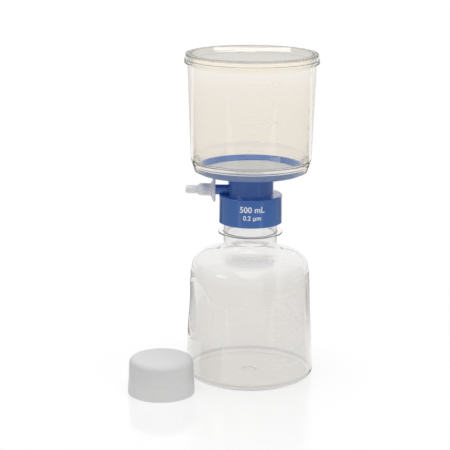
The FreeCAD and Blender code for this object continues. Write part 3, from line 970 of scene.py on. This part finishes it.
@dataclass
class ReceiverBottle(Assembly):
    """Thin-walled bottle with a shallow punt, two dished grips, a support ring and a screw neck."""

    node = "receiver_bottle"
    wall: float = 1.6
    foot_radius: float = 51.8
    foot_ring: float = 3.6
    heel_fillet: float = 7.2
    draft: float = 4.7
    body_height: float = 98.7
    shoulder_fillet: float = 15.0
    shoulder_rise: float = 5.4
    neck_fillet: float = 8.5
    neck_radius: float = 21.4
    neck_wall: float = 2.3
    finish_length: float = 27.4
    ring_thickness: float = 1.0
    ring_width: float = 4.2
    punt: float = 0.5
    punt_fillet: float = 40.0
    gate_radius: float = 5.4
    gate_depth: float = 0.4
    grip_radius: float = 25.0
    grip_depth: float = 2.2
    grip_drop: float = 40.2
    grip_bearing: float = 24.0
    grip_blend: float = 0.3
    grip_ledge: float = 0.45
    grip_ledge_run: float = 0.5  # depth over which the ledge comes in
    thread_relief: float = 1.0
    thread_low: float = 16.0  # of the thread's lower end below the lip
    thread_high: float = 2.2
    fill_line_drop: float = 14.7
    fill_line_sweep: float = 44.0
    segments: int = 288

    @property
    def lip(self) -> float:
        """Height of the lip, which is the solid's top."""
        return self.extent.top

    def body_wall(self) -> Wall:
        """The body's cone."""
        return Wall(0.0, self.foot_radius, self.body_height, self.foot_radius - self.draft)

    def scale(self) -> Scale:
        """Graduations below the fill line."""
        return Scale(bearing=-73.0, first=19.0, step=6.8, count=9, first_number=100)

    def dished(self, radius: np.ndarray, height: np.ndarray, inset: float) -> np.ndarray:
        """Sink both grips into a wall.

        A grip's floor turns about an axis set back from the bottle's, so that its round edge lies on
        the cone. Along a bearing at an angle a from the grip's middle, that circle is at the root of
        its radius squared less the setback squared times sine a squared, less setback times cosine a.

        Args:
            radius: Radii of the wall's rows, as one column.
            height: Their heights.
            inset: How far this wall lies inside the outer one.

        Returns:
            The lesser of the wall and the floors, with a rounded edge between them.
        """
        cone = self.body_wall()
        middle_height = self.body_height - self.grip_drop
        middle = float(cone.radius(np.array(middle_height)))
        floor = middle - self.grip_depth
        chord = math.sqrt(middle**2 - self.grip_radius**2)
        setback = (middle**2 - floor**2) / (2 * (floor - chord))
        step = (height - middle_height) / self.grip_radius
        turning = cone.radius(height) - self.grip_depth * (1 - step**2) + setback - inset
        result = radius
        for bearing in (self.grip_bearing, self.grip_bearing + 180.0):
            angle = bearings(self.segments) - math.radians(bearing)
            reach = np.sqrt(np.maximum(turning**2 - (setback * np.sin(angle)) ** 2, 0))
            sunk = reach - setback * np.cos(angle)
            ledge = self.grip_ledge * smooth_step((result - sunk) / self.grip_ledge_run)
            result = smooth_least(result, sunk, self.grip_blend) - ledge
        return result

    def outer_corners(self) -> list[Corner]:
        """Outside of the section, from the middle of the foot to the lip.

        Returns:
            Its corners in order.
        """
        punt_radius = self.foot_radius - self.heel_fillet - self.foot_ring
        neck_root = self.body_height + self.shoulder_rise
        ring = self.lip - self.finish_length
        ring_edge = self.neck_radius + self.ring_width
        ring_top = ring + self.ring_thickness
        return [
            Corner(0, self.punt + self.gate_depth),
            Corner(self.gate_radius, self.punt + self.gate_depth, 0.1),
            Corner(self.gate_radius, self.punt, 0.1),
            Corner(punt_radius, 0, self.punt_fillet),
            Corner(self.foot_radius, 0, self.heel_fillet, 1.0),
            Corner(self.foot_radius - self.draft, self.body_height, self.shoulder_fillet, 2.0),
            Corner(self.neck_radius, neck_root, self.neck_fillet),
            Corner(self.neck_radius, ring, 0.5),
            Corner(ring_edge, ring, 0.4),
            Corner(ring_edge, ring_top, 0.4),
            Corner(self.neck_radius, ring_top, 0.5, 0.4),
            Corner(self.neck_radius, self.lip, 0.5),
        ]

    def inner_corners(self) -> list[Corner]:
        """Inside of the section, from the lip down to the middle of the floor.

        Returns:
            Its corners in order.
        """
        cone = self.body_wall()
        punt_radius = self.foot_radius - self.heel_fillet - self.foot_ring
        bore = self.neck_radius - self.neck_wall
        top = self.body_height - self.wall
        neck_root = self.body_height + self.shoulder_rise - self.wall
        low = float(cone.radius(np.array(self.wall))) - self.wall
        high = float(cone.radius(np.array(top))) - self.wall
        return [
            Corner(bore, self.lip, 0.5),
            Corner(bore, neck_root, self.neck_fillet + self.wall, 2.0),
            Corner(high, top, self.shoulder_fillet - self.wall, 1.0),
            Corner(low, self.wall, self.heel_fillet - self.wall),
            Corner(punt_radius, self.wall, self.punt_fillet - self.wall),
            Corner(self.gate_radius, self.punt + self.wall, 1.0),
            Corner(0, self.punt + self.wall),
        ]

    def shell(self) -> Surface:
        """Turn both walls as one closed outline, with the grips sunk and the thread raised.

        Returns:
            The shell, closed on the axis at the foot and at the floor.
        """
        outer, inner = self.outer_corners(), self.inner_corners()
        outline = rounded(outer + inner)
        lip_row = int(np.argmax(outline[:, 1] > self.lip - SAME))
        radius, height = outline[:, :1], outline[:, 1:]
        angle = bearings(self.segments)
        outside = self.dished(radius[: lip_row + 1], height[: lip_row + 1], 0.0)
        inside = self.dished(radius[lip_row + 1 :], height[lip_row + 1 :], self.wall)
        low, high = self.lip - self.thread_low, self.lip - self.thread_high
        on_neck = np.abs(radius[: lip_row + 1] - self.neck_radius) < SAME
        ridge = THREAD.ridge(angle, height[: lip_row + 1], low, high)
        outside = outside + on_neck * self.thread_relief * ridge
        return Surface.of_grid(revolved(np.concatenate([outside, inside]), height, angle))

    def pieces(self) -> list[Piece]:
        """Make the bottle and its graduations.

        Returns:
            The shell, the lines and the numbers.
        """
        scale, wall = self.scale(), self.body_wall()
        lines = scale.lines(wall)
        fill_line = self.body_height - self.fill_line_drop
        lines.append(scale.line(wall, fill_line, self.fill_line_sweep))
        made_as = Body.BOTTLE, Slot.CLEAR
        return [
            Piece("bottle_shell", self.shell(), BOTTLE_STYRENE, *made_as, self.node),
            Piece("bottle_graduations", Surface.joined(lines), BOTTLE_MARK, *made_as),
            Piece("bottle_numbers", Surface.joined(scale.numbers(wall)), BOTTLE_MARK, *made_as),
        ]


@dataclass
class NeckGasket(Assembly):
    """Flat soft ring on the bottle's lip."""

    node = "neck_gasket"
    width: float = 3.2
    edge_fillet: float = 0.4

    def pieces(self) -> list[Piece]:
        """Turn a ring with rounded edges.

        Returns:
            The ring.
        """
        low, high = self.extent.bottom + CONTACT, self.extent.top - CONTACT
        outer = self.extent.radius
        inner = outer - self.width
        section = (inner, low), (outer, low), (outer, high), (inner, high)
        corners = [Corner(radius, height, self.edge_fillet) for radius, height in section]
        made_as = GASKET_RUBBER, Body.GASKET, Slot.GASKET
        return [Piece("gasket_ring", turned(corners), *made_as, self.node)]


@dataclass
class FilterHousing(Assembly):
    """Blue moulding: screw skirt, plate, column, side arm, drip tube and the dish with its ribs."""

    node = "filter_housing"
    skirt_radius: float = 25.2
    skirt_height: float = 22.6
    skirt_fillet: float = 1.0
    screw_bore: float = 22.8
    plate: float = 2.2
    column_radius: float = 18.3
    column_wall: float = 1.8
    rim_width: float = 2.3
    depth: float = 4.2
    floor: float = 4.7
    underside_rise: float = 3.2
    slope_width: float = 2.2
    slope_foot: float = 0.6
    collector_radius: float = 35.5
    collector_edge: float = 1.1
    collector_centre: float = 2.6
    rib_width: float = 0.9
    rib_points: int = 16  # round a rib's section
    rib_overlap: float = 0.2  # of a rib's end with the dish
    rib_rings: tuple[tuple[float, int, float], ...] = ((7.0, 12, 0.0), (15.0, 12, 0.5), (25.0, 24, 0.5))
    drip_bore: float = 3.0
    drip_wall: float = 1.4
    arm_rise: float = 3.2
    arm_radius: float = 4.1
    arm_reach: float = 2.9
    arm_bore: float = 2.2
    spigot_radius: float = 3.4
    spigot_length: float = 9.5
    thread_relief: float = 0.8
    thread_margin: float = 1.5
    print_level: float = 15.0
    print_height: float = 4.6
    small_print_drop: float = 6.6
    small_print_height: float = 3.6
    print_relief: float = 0.04
    print_weight: float = 0.03
    print_bearing: float = 3.0
    plate_top: float = 148.6

    @property
    def rim(self) -> float:
        """Height of the dish's rim, which is the solid's top."""
        return self.extent.top

    @property
    def rim_radius(self) -> float:
        """Radius of the dish's rim."""
        return self.extent.radius

    def body(self) -> Surface:
        """Turn the skirt, plate, column and dish as one closed section, with the thread in the skirt.

        Returns:
            The moulding without its tube, its arm and its ribs.
        """
        seat = self.rim - self.depth
        underside = seat - self.floor
        plate_bottom = self.plate_top - self.plate
        skirt_bottom = self.plate_top - self.skirt_height
        slope_top = self.rim_radius - self.rim_width
        column_bore = self.column_radius - self.column_wall
        drip = self.drip_bore + self.drip_wall
        corners = [
            Corner(drip, underside),
            Corner(column_bore, underside, 0.8),
            Corner(column_bore, plate_bottom),
            Corner(self.screw_bore, plate_bottom, 0.5, 0.4),
            Corner(self.screw_bore, skirt_bottom, 0.4),
            Corner(self.skirt_radius, skirt_bottom, 0.4),
            Corner(self.skirt_radius, self.plate_top, self.skirt_fillet),
            Corner(self.column_radius, self.plate_top, 0.5),
            Corner(self.column_radius, underside, 1.0),
            Corner(self.rim_radius, underside + self.underside_rise, 0.8),
            Corner(self.rim_radius, self.rim, 0.2),
            Corner(slope_top, self.rim, 0.4),
            Corner(slope_top - self.slope_width, seat + self.slope_foot, 0.3),
            Corner(slope_top - self.slope_width, seat, 0.1),
            Corner(self.collector_radius, seat, 0.2),
            Corner(self.collector_radius, seat - self.collector_edge, 0.2),
            Corner(drip, seat - self.collector_centre, 0.3),
        ]
        outline = rounded(corners, closed=True)
        radius, height = outline[:, :1], outline[:, 1:]
        angle = bearings()
        in_bore = np.abs(radius - self.screw_bore) < SAME
        ridge = THREAD.ridge(
            angle, height, skirt_bottom + self.thread_margin, plate_bottom - self.thread_margin, 0.5
        )
        threaded = radius - in_bore * self.thread_relief * ridge
        return Surface.of_grid(revolved(threaded, height, angle), closed_rows=True)

    def drip_tube(self) -> Surface:
        """Turn the tube that leads the filtrate down past the vacuum passage.

        Returns:
            The tube.
        """
        top = self.rim - self.depth - self.collector_centre
        low = self.extent.bottom
        outer = self.drip_bore + self.drip_wall
        return turned(
            [
                Corner(self.drip_bore, low, 0.3),
                Corner(outer, low, 0.3),
                Corner(outer, top, 0.1),
                Corner(self.drip_bore, top, 0.3),
            ],
            segments=64,
        )

    def side_arm(self) -> Surface:
        """Turn the arm and its spigot along -X, with the vacuum bore through it.

        Returns:
            The arm.
        """
        start = self.column_radius - self.column_wall / 2
        seat = self.skirt_radius + self.arm_reach
        end = seat + self.spigot_length
        return turned(
            [
                Corner(self.arm_bore, start),
                Corner(self.arm_radius, start),
                Corner(self.arm_radius, seat, 0.3),
                Corner(self.spigot_radius, seat),
                Corner(self.spigot_radius, end, 0.5),
                Corner(self.arm_bore, end, 0.3),
            ],
            segments=96,
        ).laid_along_arm(self.plate_top + self.arm_rise)

    def ribs(self) -> list[Surface]:
        """Stand ribs round the collector: each is a rounded bar along a bearing, closed at its ends.

        Returns:
            The ribs, one surface each.
        """
        seat = self.rim - self.depth - CONTACT
        bottom = seat - self.collector_centre
        around = np.linspace(0, 2 * math.pi, self.rib_points, endpoint=False) + math.pi / self.rib_points
        square = np.maximum(np.abs(np.cos(around)), np.abs(np.sin(around)))
        across = np.cos(around) / square * self.rib_width / 2
        upright = (seat + bottom) / 2 + np.sin(around) / square * (seat - bottom) / 2
        ribs = []
        for start, count, phase in self.rib_rings:
            end = self.collector_radius + self.rib_overlap
            along = np.array([start, start, end, end])
            spread = np.array([0.0, 1.0, 1.0, 0.0])[:, None]
            middle = (seat + bottom) / 2
            for angle in (np.arange(count) + phase) * 2 * math.pi / count:
                x = along[:, None] * math.cos(angle) - across * spread * math.sin(angle)
                y = along[:, None] * math.sin(angle) + across * spread * math.cos(angle)
                z = middle + (upright - middle) * spread
                ribs.append(Surface.of_grid(np.stack([x, y, z], axis=-1)))
        return ribs

    def markings(self) -> Surface:
        """Print the volume and the pore size on the front of the skirt.

        Returns:
            Both lines of print as one surface.
        """
        wall = Wall(0.0, self.skirt_radius, 1.0, self.skirt_radius)
        middle = math.radians(FRONT + self.print_bearing)
        level = self.plate_top - self.skirt_height + self.print_level
        lines = (
            ("500 mL", level, self.print_height),
            ("0.2 µm", level - self.small_print_drop, self.small_print_height),
        )
        return Surface.joined(
            Lettering(text, height, self.print_weight).bent(
                wall, at, middle, self.print_relief, Alignment.CENTRE
            )
            for text, at, height in lines
        )

    def pieces(self) -> list[Piece]:
        """Make the moulding and its print.

        Returns:
            The moulding and the print.
        """
        moulding = Surface.joined([self.body(), self.drip_tube(), self.side_arm(), *self.ribs()])
        made_as = Body.HEAD, Slot.BLUE
        return [
            Piece("housing_moulding", moulding, BLUE_STYRENE, *made_as, self.node),
            Piece("housing_print", self.markings(), WHITE_INK, *made_as),
        ]


@dataclass
class Membrane(Assembly):
    """Filter disc that dips a little between the ribs, sealed to the dish at its edge."""

    node = "membrane"
    seal_width: float = 2.0
    dip: float = 0.05
    dip_start: float = 6.0  # run from the inner edge over which the dip comes in
    dip_end: float = 1.5  # run to the outer edge over which it fades
    ribs: int = 24
    rings: int = 36

    def disc(self, inner: float, outer: float, segments: int = 288) -> Surface:
        """Make a thin disc or ring whose top dips between the ribs by a cosine of the bearing.

        Args:
            inner: Its inner radius, or 0.
            outer: Its outer radius.
            segments: How many points there are round it.

        Returns:
            The disc, or the closed ring.
        """
        low, high = self.extent.bottom, self.extent.top
        radius = np.linspace(inner, outer, self.rings)[:, None]
        angle = bearings(segments)
        held = smooth_step((radius - inner) / self.dip_start) * smooth_step((outer - radius) / self.dip_end)
        top = high - self.dip * held * (1 - np.cos(self.ribs * angle)) / 2
        upper = revolved(radius, top, angle)
        lower = revolved(radius, np.full_like(top, low + CONTACT), angle)
        closed = inner > 0
        return Surface.of_grid(np.concatenate([upper, lower[::-1]]), closed_rows=closed)

    def pieces(self) -> list[Piece]:
        """Make the film and its sealed edge.

        Returns:
            The film and the seal.
        """
        edge = self.extent.radius
        seal = edge - self.seal_width
        made_as = Body.HEAD, Slot.MEMBRANE
        return [
            Piece("membrane_disc", self.disc(0.0, seal), MEMBRANE_FILM, *made_as, self.node),
            Piece("membrane_seal", self.disc(seal, edge), SEAL_FILM, *made_as),
        ]


@dataclass
class HoseAdapter(Assembly):
    """Nozzle with a cone-backed flange, pushed onto the side arm."""

    node = "hose_adapter"
    flange_hub: float = 3.8
    flange_edge: float = 1.7
    barrel_wall: float = 1.5
    barrel_length: float = 12.4
    shoulder: float = 2.0
    nozzle_radius: float = 3.3
    nozzle_wall: float = 1.7
    nozzle_fillet: float = 1.3
    spigot_radius: float = 3.45
    spigot_length: float = 9.8

    def pieces(self) -> list[Piece]:
        """Turn the adapter along -X.

        Returns:
            The nozzle.
        """
        seat, end = self.extent.along_arm
        flange = self.extent.radius
        barrel = self.spigot_radius + self.barrel_wall
        bore = self.nozzle_radius - self.nozzle_wall
        barrel_end = seat + self.barrel_length
        socket_end = seat + self.spigot_length
        surface = turned(
            [
                Corner(self.spigot_radius, seat + CONTACT, 0.2),
                Corner(flange, seat + CONTACT, 0.4),
                Corner(flange, seat + self.flange_edge, 0.6),
                Corner(barrel, seat + self.flange_hub, 0.8),
                Corner(barrel, barrel_end, 0.5),
                Corner(self.nozzle_radius, barrel_end + self.shoulder, 0.5),
                Corner(self.nozzle_radius, end, self.nozzle_fillet),
                Corner(bore, end, 0.3),
                Corner(bore, socket_end, 0.1),
                Corner(self.spigot_radius, socket_end, 0.1),
            ],
            segments=128,
        ).laid_along_arm(float(self.extent.centre[2]))
        made_as = NATURAL_POLYPROPYLENE, Body.ADAPTER, Slot.NATURAL
        return [Piece("adapter_nozzle", surface, *made_as, self.node)]


@dataclass
class VentPlug(Assembly):
    """Fibre plug in the side arm's bore, with softly rounded ends."""

    node = "vent_plug"
    end_fillet: float = 0.6

    def pieces(self) -> list[Piece]:
        """Turn the plug along -X.

        Returns:
            The wad.
        """
        near, far = self.extent.along_arm
        radius = self.extent.radius
        surface = turned(
            [
                Corner(0, near),
                Corner(radius, near, self.end_fillet),
                Corner(radius, far, self.end_fillet),
                Corner(0, far),
            ],
            segments=64,
        ).laid_along_arm(float(self.extent.centre[2]))
        return [Piece("plug_wad", surface, PLUG_FIBRE, Body.HEAD, Slot.FIBRE, self.node)]


@dataclass
class UpperChamber(Assembly):
    """Tapered chamber with a rolled rim flange and a conical foot that fits over the dish's edge."""

    node = "upper_chamber"
    wall: float = 1.7
    foot_wall: float = 2.45
    foot_drop: float = 4.5
    ledge_width: float = 0.75
    ledge_thickness: float = 0.9
    shoulder_rise: float = 4.5
    shoulder_overhang: float = 3.0
    flare: float = 2.9
    flange_width: float = 2.3
    flange_thickness: float = 3.0
    fillet: float = 0.6
    scale_rise: float = 12.6  # of the first line above the dish's rim
    scale_bearings: tuple[float, float] = (-94.0, -14.0)

    @property
    def foot(self) -> float:
        """Height of the foot, which is the solid's bottom."""
        return self.extent.bottom

    @property
    def ledge(self) -> float:
        """Height of the ledge that rests on the dish's rim."""
        return self.foot + self.foot_drop

    @property
    def top(self) -> float:
        """Height of the rim."""
        return self.extent.top

    def outer_wall(self) -> Wall:
        """The chamber's cone between its shoulder and its rim."""
        top_radius = self.extent.radius - self.flange_width
        return Wall(self.ledge + self.shoulder_rise, top_radius - self.flare, self.top, top_radius)

    def shell(self) -> Surface:
        """Turn the chamber's closed section.

        Returns:
            The shell.
        """
        wall = self.outer_wall()
        shoulder = self.ledge + self.shoulder_rise
        foot_radius = wall.low_radius - self.shoulder_overhang
        foot_bore = foot_radius - self.foot_wall
        ledge_bore = foot_bore - self.ledge_width
        flange = self.top - self.flange_thickness
        inside = shoulder + self.ledge_thickness
        top_radius = float(wall.radius(np.array(self.top)))
        return turned(
            [
                Corner(foot_bore, self.ledge + CONTACT, 0.1),
                Corner(foot_bore, self.foot, 0.3),
                Corner(foot_radius, self.foot, self.fillet),
                Corner(wall.low_radius, shoulder, self.fillet),
                Corner(float(wall.radius(np.array(flange))), flange, 0.5),
                Corner(self.extent.radius, flange, self.fillet),
                Corner(self.extent.radius, self.top, 0.3),
                Corner(top_radius - self.wall, self.top, 0.4),
                Corner(float(wall.radius(np.array(inside))) - self.wall, inside, self.fillet),
                Corner(ledge_bore, self.ledge + self.ledge_thickness, 0.2),
                Corner(ledge_bore, self.ledge + CONTACT, 0.1),
            ],
            segments=256,
        )

    def pieces(self) -> list[Piece]:
        """Make the chamber and both of its scales.

        Returns:
            The shell, the lines and the numbers.
        """
        wall = self.outer_wall()
        scales = [
            Scale(bearing=b, first=self.ledge + self.scale_rise, step=7.25, count=9, first_number=100)
            for b in self.scale_bearings
        ]
        lines = [line for scale in scales for line in scale.lines(wall)]
        numbers = [number for scale in scales for number in scale.numbers(wall)]
        made_as = Body.HEAD, Slot.CLEAR
        return [
            Piece("chamber_shell", self.shell(), CHAMBER_STYRENE, *made_as, self.node),
            Piece("chamber_graduations", Surface.joined(lines), CHAMBER_MARK, *made_as),
            Piece("chamber_numbers", Surface.joined(numbers), CHAMBER_MARK, *made_as),
        ]


@dataclass
class Lid(Assembly):
    """Flat lid on the chamber's rim, with a ring that locates it inside."""

    node = "lid"
    edge: float = 4.4
    plate: float = 1.5
    edge_wall: float = 1.6
    spigot_radius: float = 48.52
    spigot_wall: float = 1.3

    def pieces(self) -> list[Piece]:
        """Turn the lid.

        Returns:
            The lid.
        """
        top = self.extent.top
        radius = self.extent.radius
        plate_bottom = top - self.plate
        rest = top - self.edge + CONTACT
        low = self.extent.bottom
        surface = turned(
            [
                Corner(0, plate_bottom),
                Corner(self.spigot_radius - self.spigot_wall, plate_bottom, 0.3),
                Corner(self.spigot_radius - self.spigot_wall, low, 0.4),
                Corner(self.spigot_radius, low, 0.4),
                Corner(self.spigot_radius, plate_bottom, 0.3),
                Corner(radius - self.edge_wall, plate_bottom, 0.3),
                Corner(radius - self.edge_wall, rest, 0.3),
                Corner(radius, rest, 0.25),
                Corner(radius, top, 0.5),
                Corner(0, top),
            ],
            segments=256,
        )
        return [Piece("lid_disc", surface, LID_STYRENE, Body.LID, Slot.CLEAR, self.node)]


@dataclass
class StorageCap(Assembly):
    """Screw cap with a plug seal and a plain band at its mouth, standing mouth down."""

    node = "storage_cap"
    wall: float = 2.4
    bore: float = 22.8
    draft: float = 1.0
    crown: float = 2.2
    crown_fillet: float = 4.5
    band: float = 9.6
    band_relief: float = 0.25
    seal_radius: float = 18.8
    seal_wall: float = 1.2
    seal_length: float = 4.0
    thread_relief: float = 0.8
    thread_low: float = 2.0
    thread_high: float = 21.0

    def pieces(self) -> list[Piece]:
        """Turn the cap, with its thread in the bore, and stand it at its place.

        Returns:
            The cap.
        """
        height = self.extent.top
        mouth = self.bore + self.wall + self.draft
        crown_radius = mouth - self.draft
        crown_inside = height - self.crown
        band_top = self.band + self.band_relief
        band_radius = mouth - self.draft * band_top / height
        outline = rounded(
            [
                Corner(0, crown_inside),
                Corner(self.seal_radius - self.seal_wall, crown_inside, 0.4),
                Corner(self.seal_radius - self.seal_wall, crown_inside - self.seal_length, 0.3),
                Corner(self.seal_radius, crown_inside - self.seal_length, 0.5),
                Corner(self.seal_radius, crown_inside, 0.4),
                Corner(self.bore, crown_inside, 0.8, 0.4),
                Corner(self.bore, 0, 0.5),
                Corner(mouth, 0, 0.4),
                Corner(band_radius, self.band, 0.4),
                Corner(band_radius - self.band_relief, band_top, 0.4),
                Corner(crown_radius - self.band_relief, height, self.crown_fillet),
                Corner(0, height),
            ]
        )
        radius, level = outline[:, :1], outline[:, 1:]
        angle = bearings()
        in_bore = np.abs(radius - self.bore) < SAME
        ridge = THREAD.ridge(angle, level, self.thread_low, self.thread_high)
        grid = revolved(radius - in_bore * self.thread_relief * ridge, level, angle)
        centre = self.extent.centre
        surface = Surface.of_grid(grid).moved((centre[0], centre[1], 0.0))
        made_as = WHITE_POLYETHYLENE, Body.BOTTLE, Slot.WHITE
        return [Piece("cap_moulding", surface, *made_as, self.node)]


# ---------------------------------------------------------------- the studio


@dataclass(frozen=True)
class SoftBox:
    """A rectangular lamp that faces a point, placed and sized in metres."""

    name: str
    place: tuple[float, float, float]
    target: tuple[float, float, float]
    width: float
    height: float
    power: float
    seen_in_gloss: bool = False

    def build(self) -> None:
        """Hang the lamp."""
        data = bpy.data.lights.new(self.name, "AREA")
        data.shape = "RECTANGLE"
        data.size = self.width
        data.size_y = self.height
        data.energy = self.power
        lamp = bpy.data.objects.new(self.name, data)
        bpy.context.scene.collection.objects.link(lamp)
        lamp.location = self.place
        aim = Vector(self.target) - Vector(self.place)
        lamp.rotation_euler = aim.to_track_quat("-Z", "Y").to_euler()
        lamp.visible_camera = False
        lamp.visible_glossy = self.seen_in_gloss
        lamp.visible_transmission = False


@dataclass(frozen=True)
class GreyCard(Finish):
    """A card of one plain grey, which glows as brightly as it would look."""

    name: str
    level: float

    def dress(self, graph: Graph) -> None:
        """Glow evenly."""
        grey = (self.level, self.level, self.level)
        graph.finish(Surface=graph.shader("ShaderNodeEmission", Color=grey, Strength=1.0))


@dataclass(frozen=True)
class Reflector:
    """A glowing card in the studio, placed and sized in metres, which shows only in gloss."""

    name: str
    middle: tuple[float, float, float]
    across: tuple[float, float, float]  # from the middle to a side
    upright: tuple[float, float, float]  # from the middle to the top
    level: float

    def build(self) -> None:
        """Hang the card."""
        middle, across, upright = (Vector(v) for v in (self.middle, self.across, self.upright))
        rim = [middle - across - upright, middle + across - upright]
        rim += [middle + across + upright, middle - across + upright]
        mesh = bpy.data.meshes.new(self.name)
        mesh.from_pydata(rim, [], [(0, 1, 2, 3)])
        mesh.materials.append(GreyCard(self.name, self.level).material())
        card = bpy.data.objects.new(self.name, mesh)
        bpy.context.scene.collection.objects.link(card)
        for rays in ("camera", "diffuse", "transmission", "volume_scatter", "shadow"):
            setattr(card, f"visible_{rays}", False)


@dataclass(frozen=True)
class GlossyFloor(Finish):
    """Polished white table that fades into the white surroundings away from the unit."""

    name: str = "studio_floor"
    colour: tuple[float, float, float] = (0.45, 0.45, 0.45)
    glow: float = 0.49
    ior: float = 1.6
    solid_radius: float = 0.11  # in metres, as far as the table is whole
    clear_radius: float = 0.28  # where nothing of it is left
    centre: tuple[float, float, float] = (-0.025, -0.015, 0.0)

    def dress(self, graph: Graph) -> None:
        """Shine, catch the shadow near the unit and turn to nothing further out.

        Args:
            graph: The material's empty graph.
        """
        grain = graph.noise(60.0, 2.0)
        table = graph.shader(
            "ShaderNodeBsdfPrincipled",
            Base_Color=self.colour,
            Roughness=0.10 + grain * 0.03,
            IOR=self.ior,
            Emission_Color=WHITE_LIGHT,
            Emission_Strength=self.glow,
        )
        vector = "ShaderNodeVectorMath"
        centred = graph.signal(vector, 0, {"operation": "SUBTRACT"}, s0=graph.place(), s1=self.centre)
        distance = graph.signal(vector, "Value", {"operation": "LENGTH"}, s0=centred)
        fade = distance.ramp(self.solid_radius, self.clear_radius)
        nothing = graph.shader("ShaderNodeBsdfTransparent")
        graph.finish(Surface=graph.blended(fade, table, nothing))


@dataclass
class Studio:
    """White surroundings, a glossy table, soft lamps and the camera."""

    lens: float = 122.8
    eye: tuple[float, float, float] = (0.0, -1.194, 0.416)
    pitch: float = 13.80
    yaw: float = -0.975
    roll: float = 0.39
    floor_size: float = 1.2
    floor_drop: float = 0.0001
    ambient: float = 0.36

    def camera(self) -> None:
        """Look along the yaw and pitch, with the horizon rolled a little."""
        pitch, yaw, roll = (math.radians(a) for a in (self.pitch, self.yaw, self.roll))
        ahead = Vector(
            (math.sin(yaw) * math.cos(pitch), math.cos(yaw) * math.cos(pitch), -math.sin(pitch))
        )
        right = ahead.cross(Vector((0, 0, 1))).normalized()
        up = right.cross(ahead)
        across = math.cos(roll) * right + math.sin(roll) * up
        upright = math.cos(roll) * up - math.sin(roll) * right
        data = bpy.data.cameras.new("camera")
        data.lens = self.lens
        data.clip_start = 0.05
        data.clip_end = 20.0
        camera = bpy.data.objects.new("camera", data)
        bpy.context.scene.collection.objects.link(camera)
        turn = Matrix((across, upright, -ahead)).transposed()
        camera.matrix_world = Matrix.Translation(self.eye) @ turn.to_4x4()
        bpy.context.scene.camera = camera

    def floor(self) -> None:
        """Lay the table just under the foot."""
        half = self.floor_size / 2
        rim = [(-half, -half), (half, -half), (half, half), (-half, half)]
        mesh = bpy.data.meshes.new("table")
        mesh.from_pydata([(x, y, -self.floor_drop) for x, y in rim], [], [(0, 1, 2, 3)])
        mesh.materials.append(GlossyFloor().material())
        table = bpy.data.objects.new("table", mesh)
        bpy.context.scene.collection.objects.link(table)

    def surroundings(self) -> None:
        """Light softly from all round, and show plain white to the eye and in gloss and glass."""
        world = bpy.data.worlds.new("surroundings")
        bpy.context.scene.world = world
        world.use_nodes = True
        graph = Graph(world.node_tree)
        seen = graph.rays("Is Camera Ray", "Is Glossy Ray", "Is Transmission Ray")
        light = graph.shader("ShaderNodeBackground", Color=WHITE_LIGHT, Strength=self.ambient)
        white = graph.shader("ShaderNodeBackground", Color=WHITE_LIGHT, Strength=1.0)
        graph.node("ShaderNodeOutputWorld", Surface=graph.blended(seen, light, white))

    def cards(self) -> None:
        """Hang the cards that the gloss and the clear walls' edges show.

        Dim ones stand before the unit and on both sides, darker ones low behind its sides, and a
        grey one behind the lid. The two windows are brighter than white.
        """
        for card in (
            Reflector("front_card", (0, -4.5, 0.5), (4.5, 0, 0), (0, 0, 1.7), 0.4),
            Reflector("high_card", (0, -4.5, 8.0), (8, 0, 0), (0, 0, 5.8), 0.5),
            Reflector("left_card", (-4.5, -0.5, 0.25), (0, 4.0, 0), (0, 0, 1.95), 0.4),
            Reflector("right_card", (4.5, -0.5, 0.25), (0, 4.0, 0), (0, 0, 1.95), 0.4),
            Reflector("left_edge", (-2.6, 3.5, -0.37), (1.9, 0, 0), (0, 0, 0.2), 0.45),
            Reflector("right_edge", (2.6, 3.5, -0.37), (1.9, 0, 0), (0, 0, 0.2), 0.6),
            Reflector("left_dark", (-2.6, 3.5, -1.08), (1.9, 0, 0), (0, 0, 0.28), 0.05),
            Reflector("right_dark", (2.6, 3.5, -1.08), (1.9, 0, 0), (0, 0, 0.28), 0.2),
            Reflector("far_card", (0, 3.0, 0.635), (4, 0, 0), (0, 0, 0.085), 0.5),
            Reflector("front_window", (-0.05, -2.3, 1.6), (0.8, 0, 0), (0, 1.7, 0), 1.8),
            Reflector("side_window", (-1.7, -1.03, 0.78), (0.2, -0.33, 0), (0, 0, 0.35), 2.4),
        ):
            card.build()

    def lamps(self) -> None:
        """Hang a wide soft lamp overhead, a weak one in front, and a strip whose image crosses the lid."""
        middle = (0.0, 0.0, 0.15)
        SoftBox("overhead", (0.1, -0.1, 1.6), middle, width=1.6, height=1.6, power=17.0).build()
        SoftBox("fill", (0.0, -1.3, 1.1), middle, width=0.8, height=0.8, power=2.5).build()
        SoftBox(
            "lid_strip",
            (0.0, 2.0, 0.5127),
            middle,
            width=0.16,
            height=0.0078,
            power=0.0022,
            seen_in_gloss=True,
        ).build()

    def render(self) -> None:
        """Set what the look needs: plain colours and enough bounces for the clear walls."""
        scene = bpy.context.scene
        scene.view_settings.view_transform = "Standard"
        scene.cycles.max_bounces = 32
        scene.cycles.transmission_bounces = 32
        scene.cycles.transparent_max_bounces = 32
        scene.cycles.glossy_bounces = 12

    def build(self) -> None:
        """Set up the whole studio."""
        self.render()
        self.camera()
        self.floor()
        self.surroundings()
        self.cards()
        self.lamps()


def main() -> None:
    """Build the studio and every sub-assembly in order."""
    logging.basicConfig(level=logging.INFO, format="%(name)s: %(message)s")
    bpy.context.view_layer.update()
    Studio().build()
    for assembly in (
        ReceiverBottle(),
        StorageCap(),
        NeckGasket(),
        FilterHousing(),
        Membrane(),
        VentPlug(),
        HoseAdapter(),
        UpperChamber(),
        Lid(),
    ):
        assembly.build()


if __name__ == "__main__":
    main()
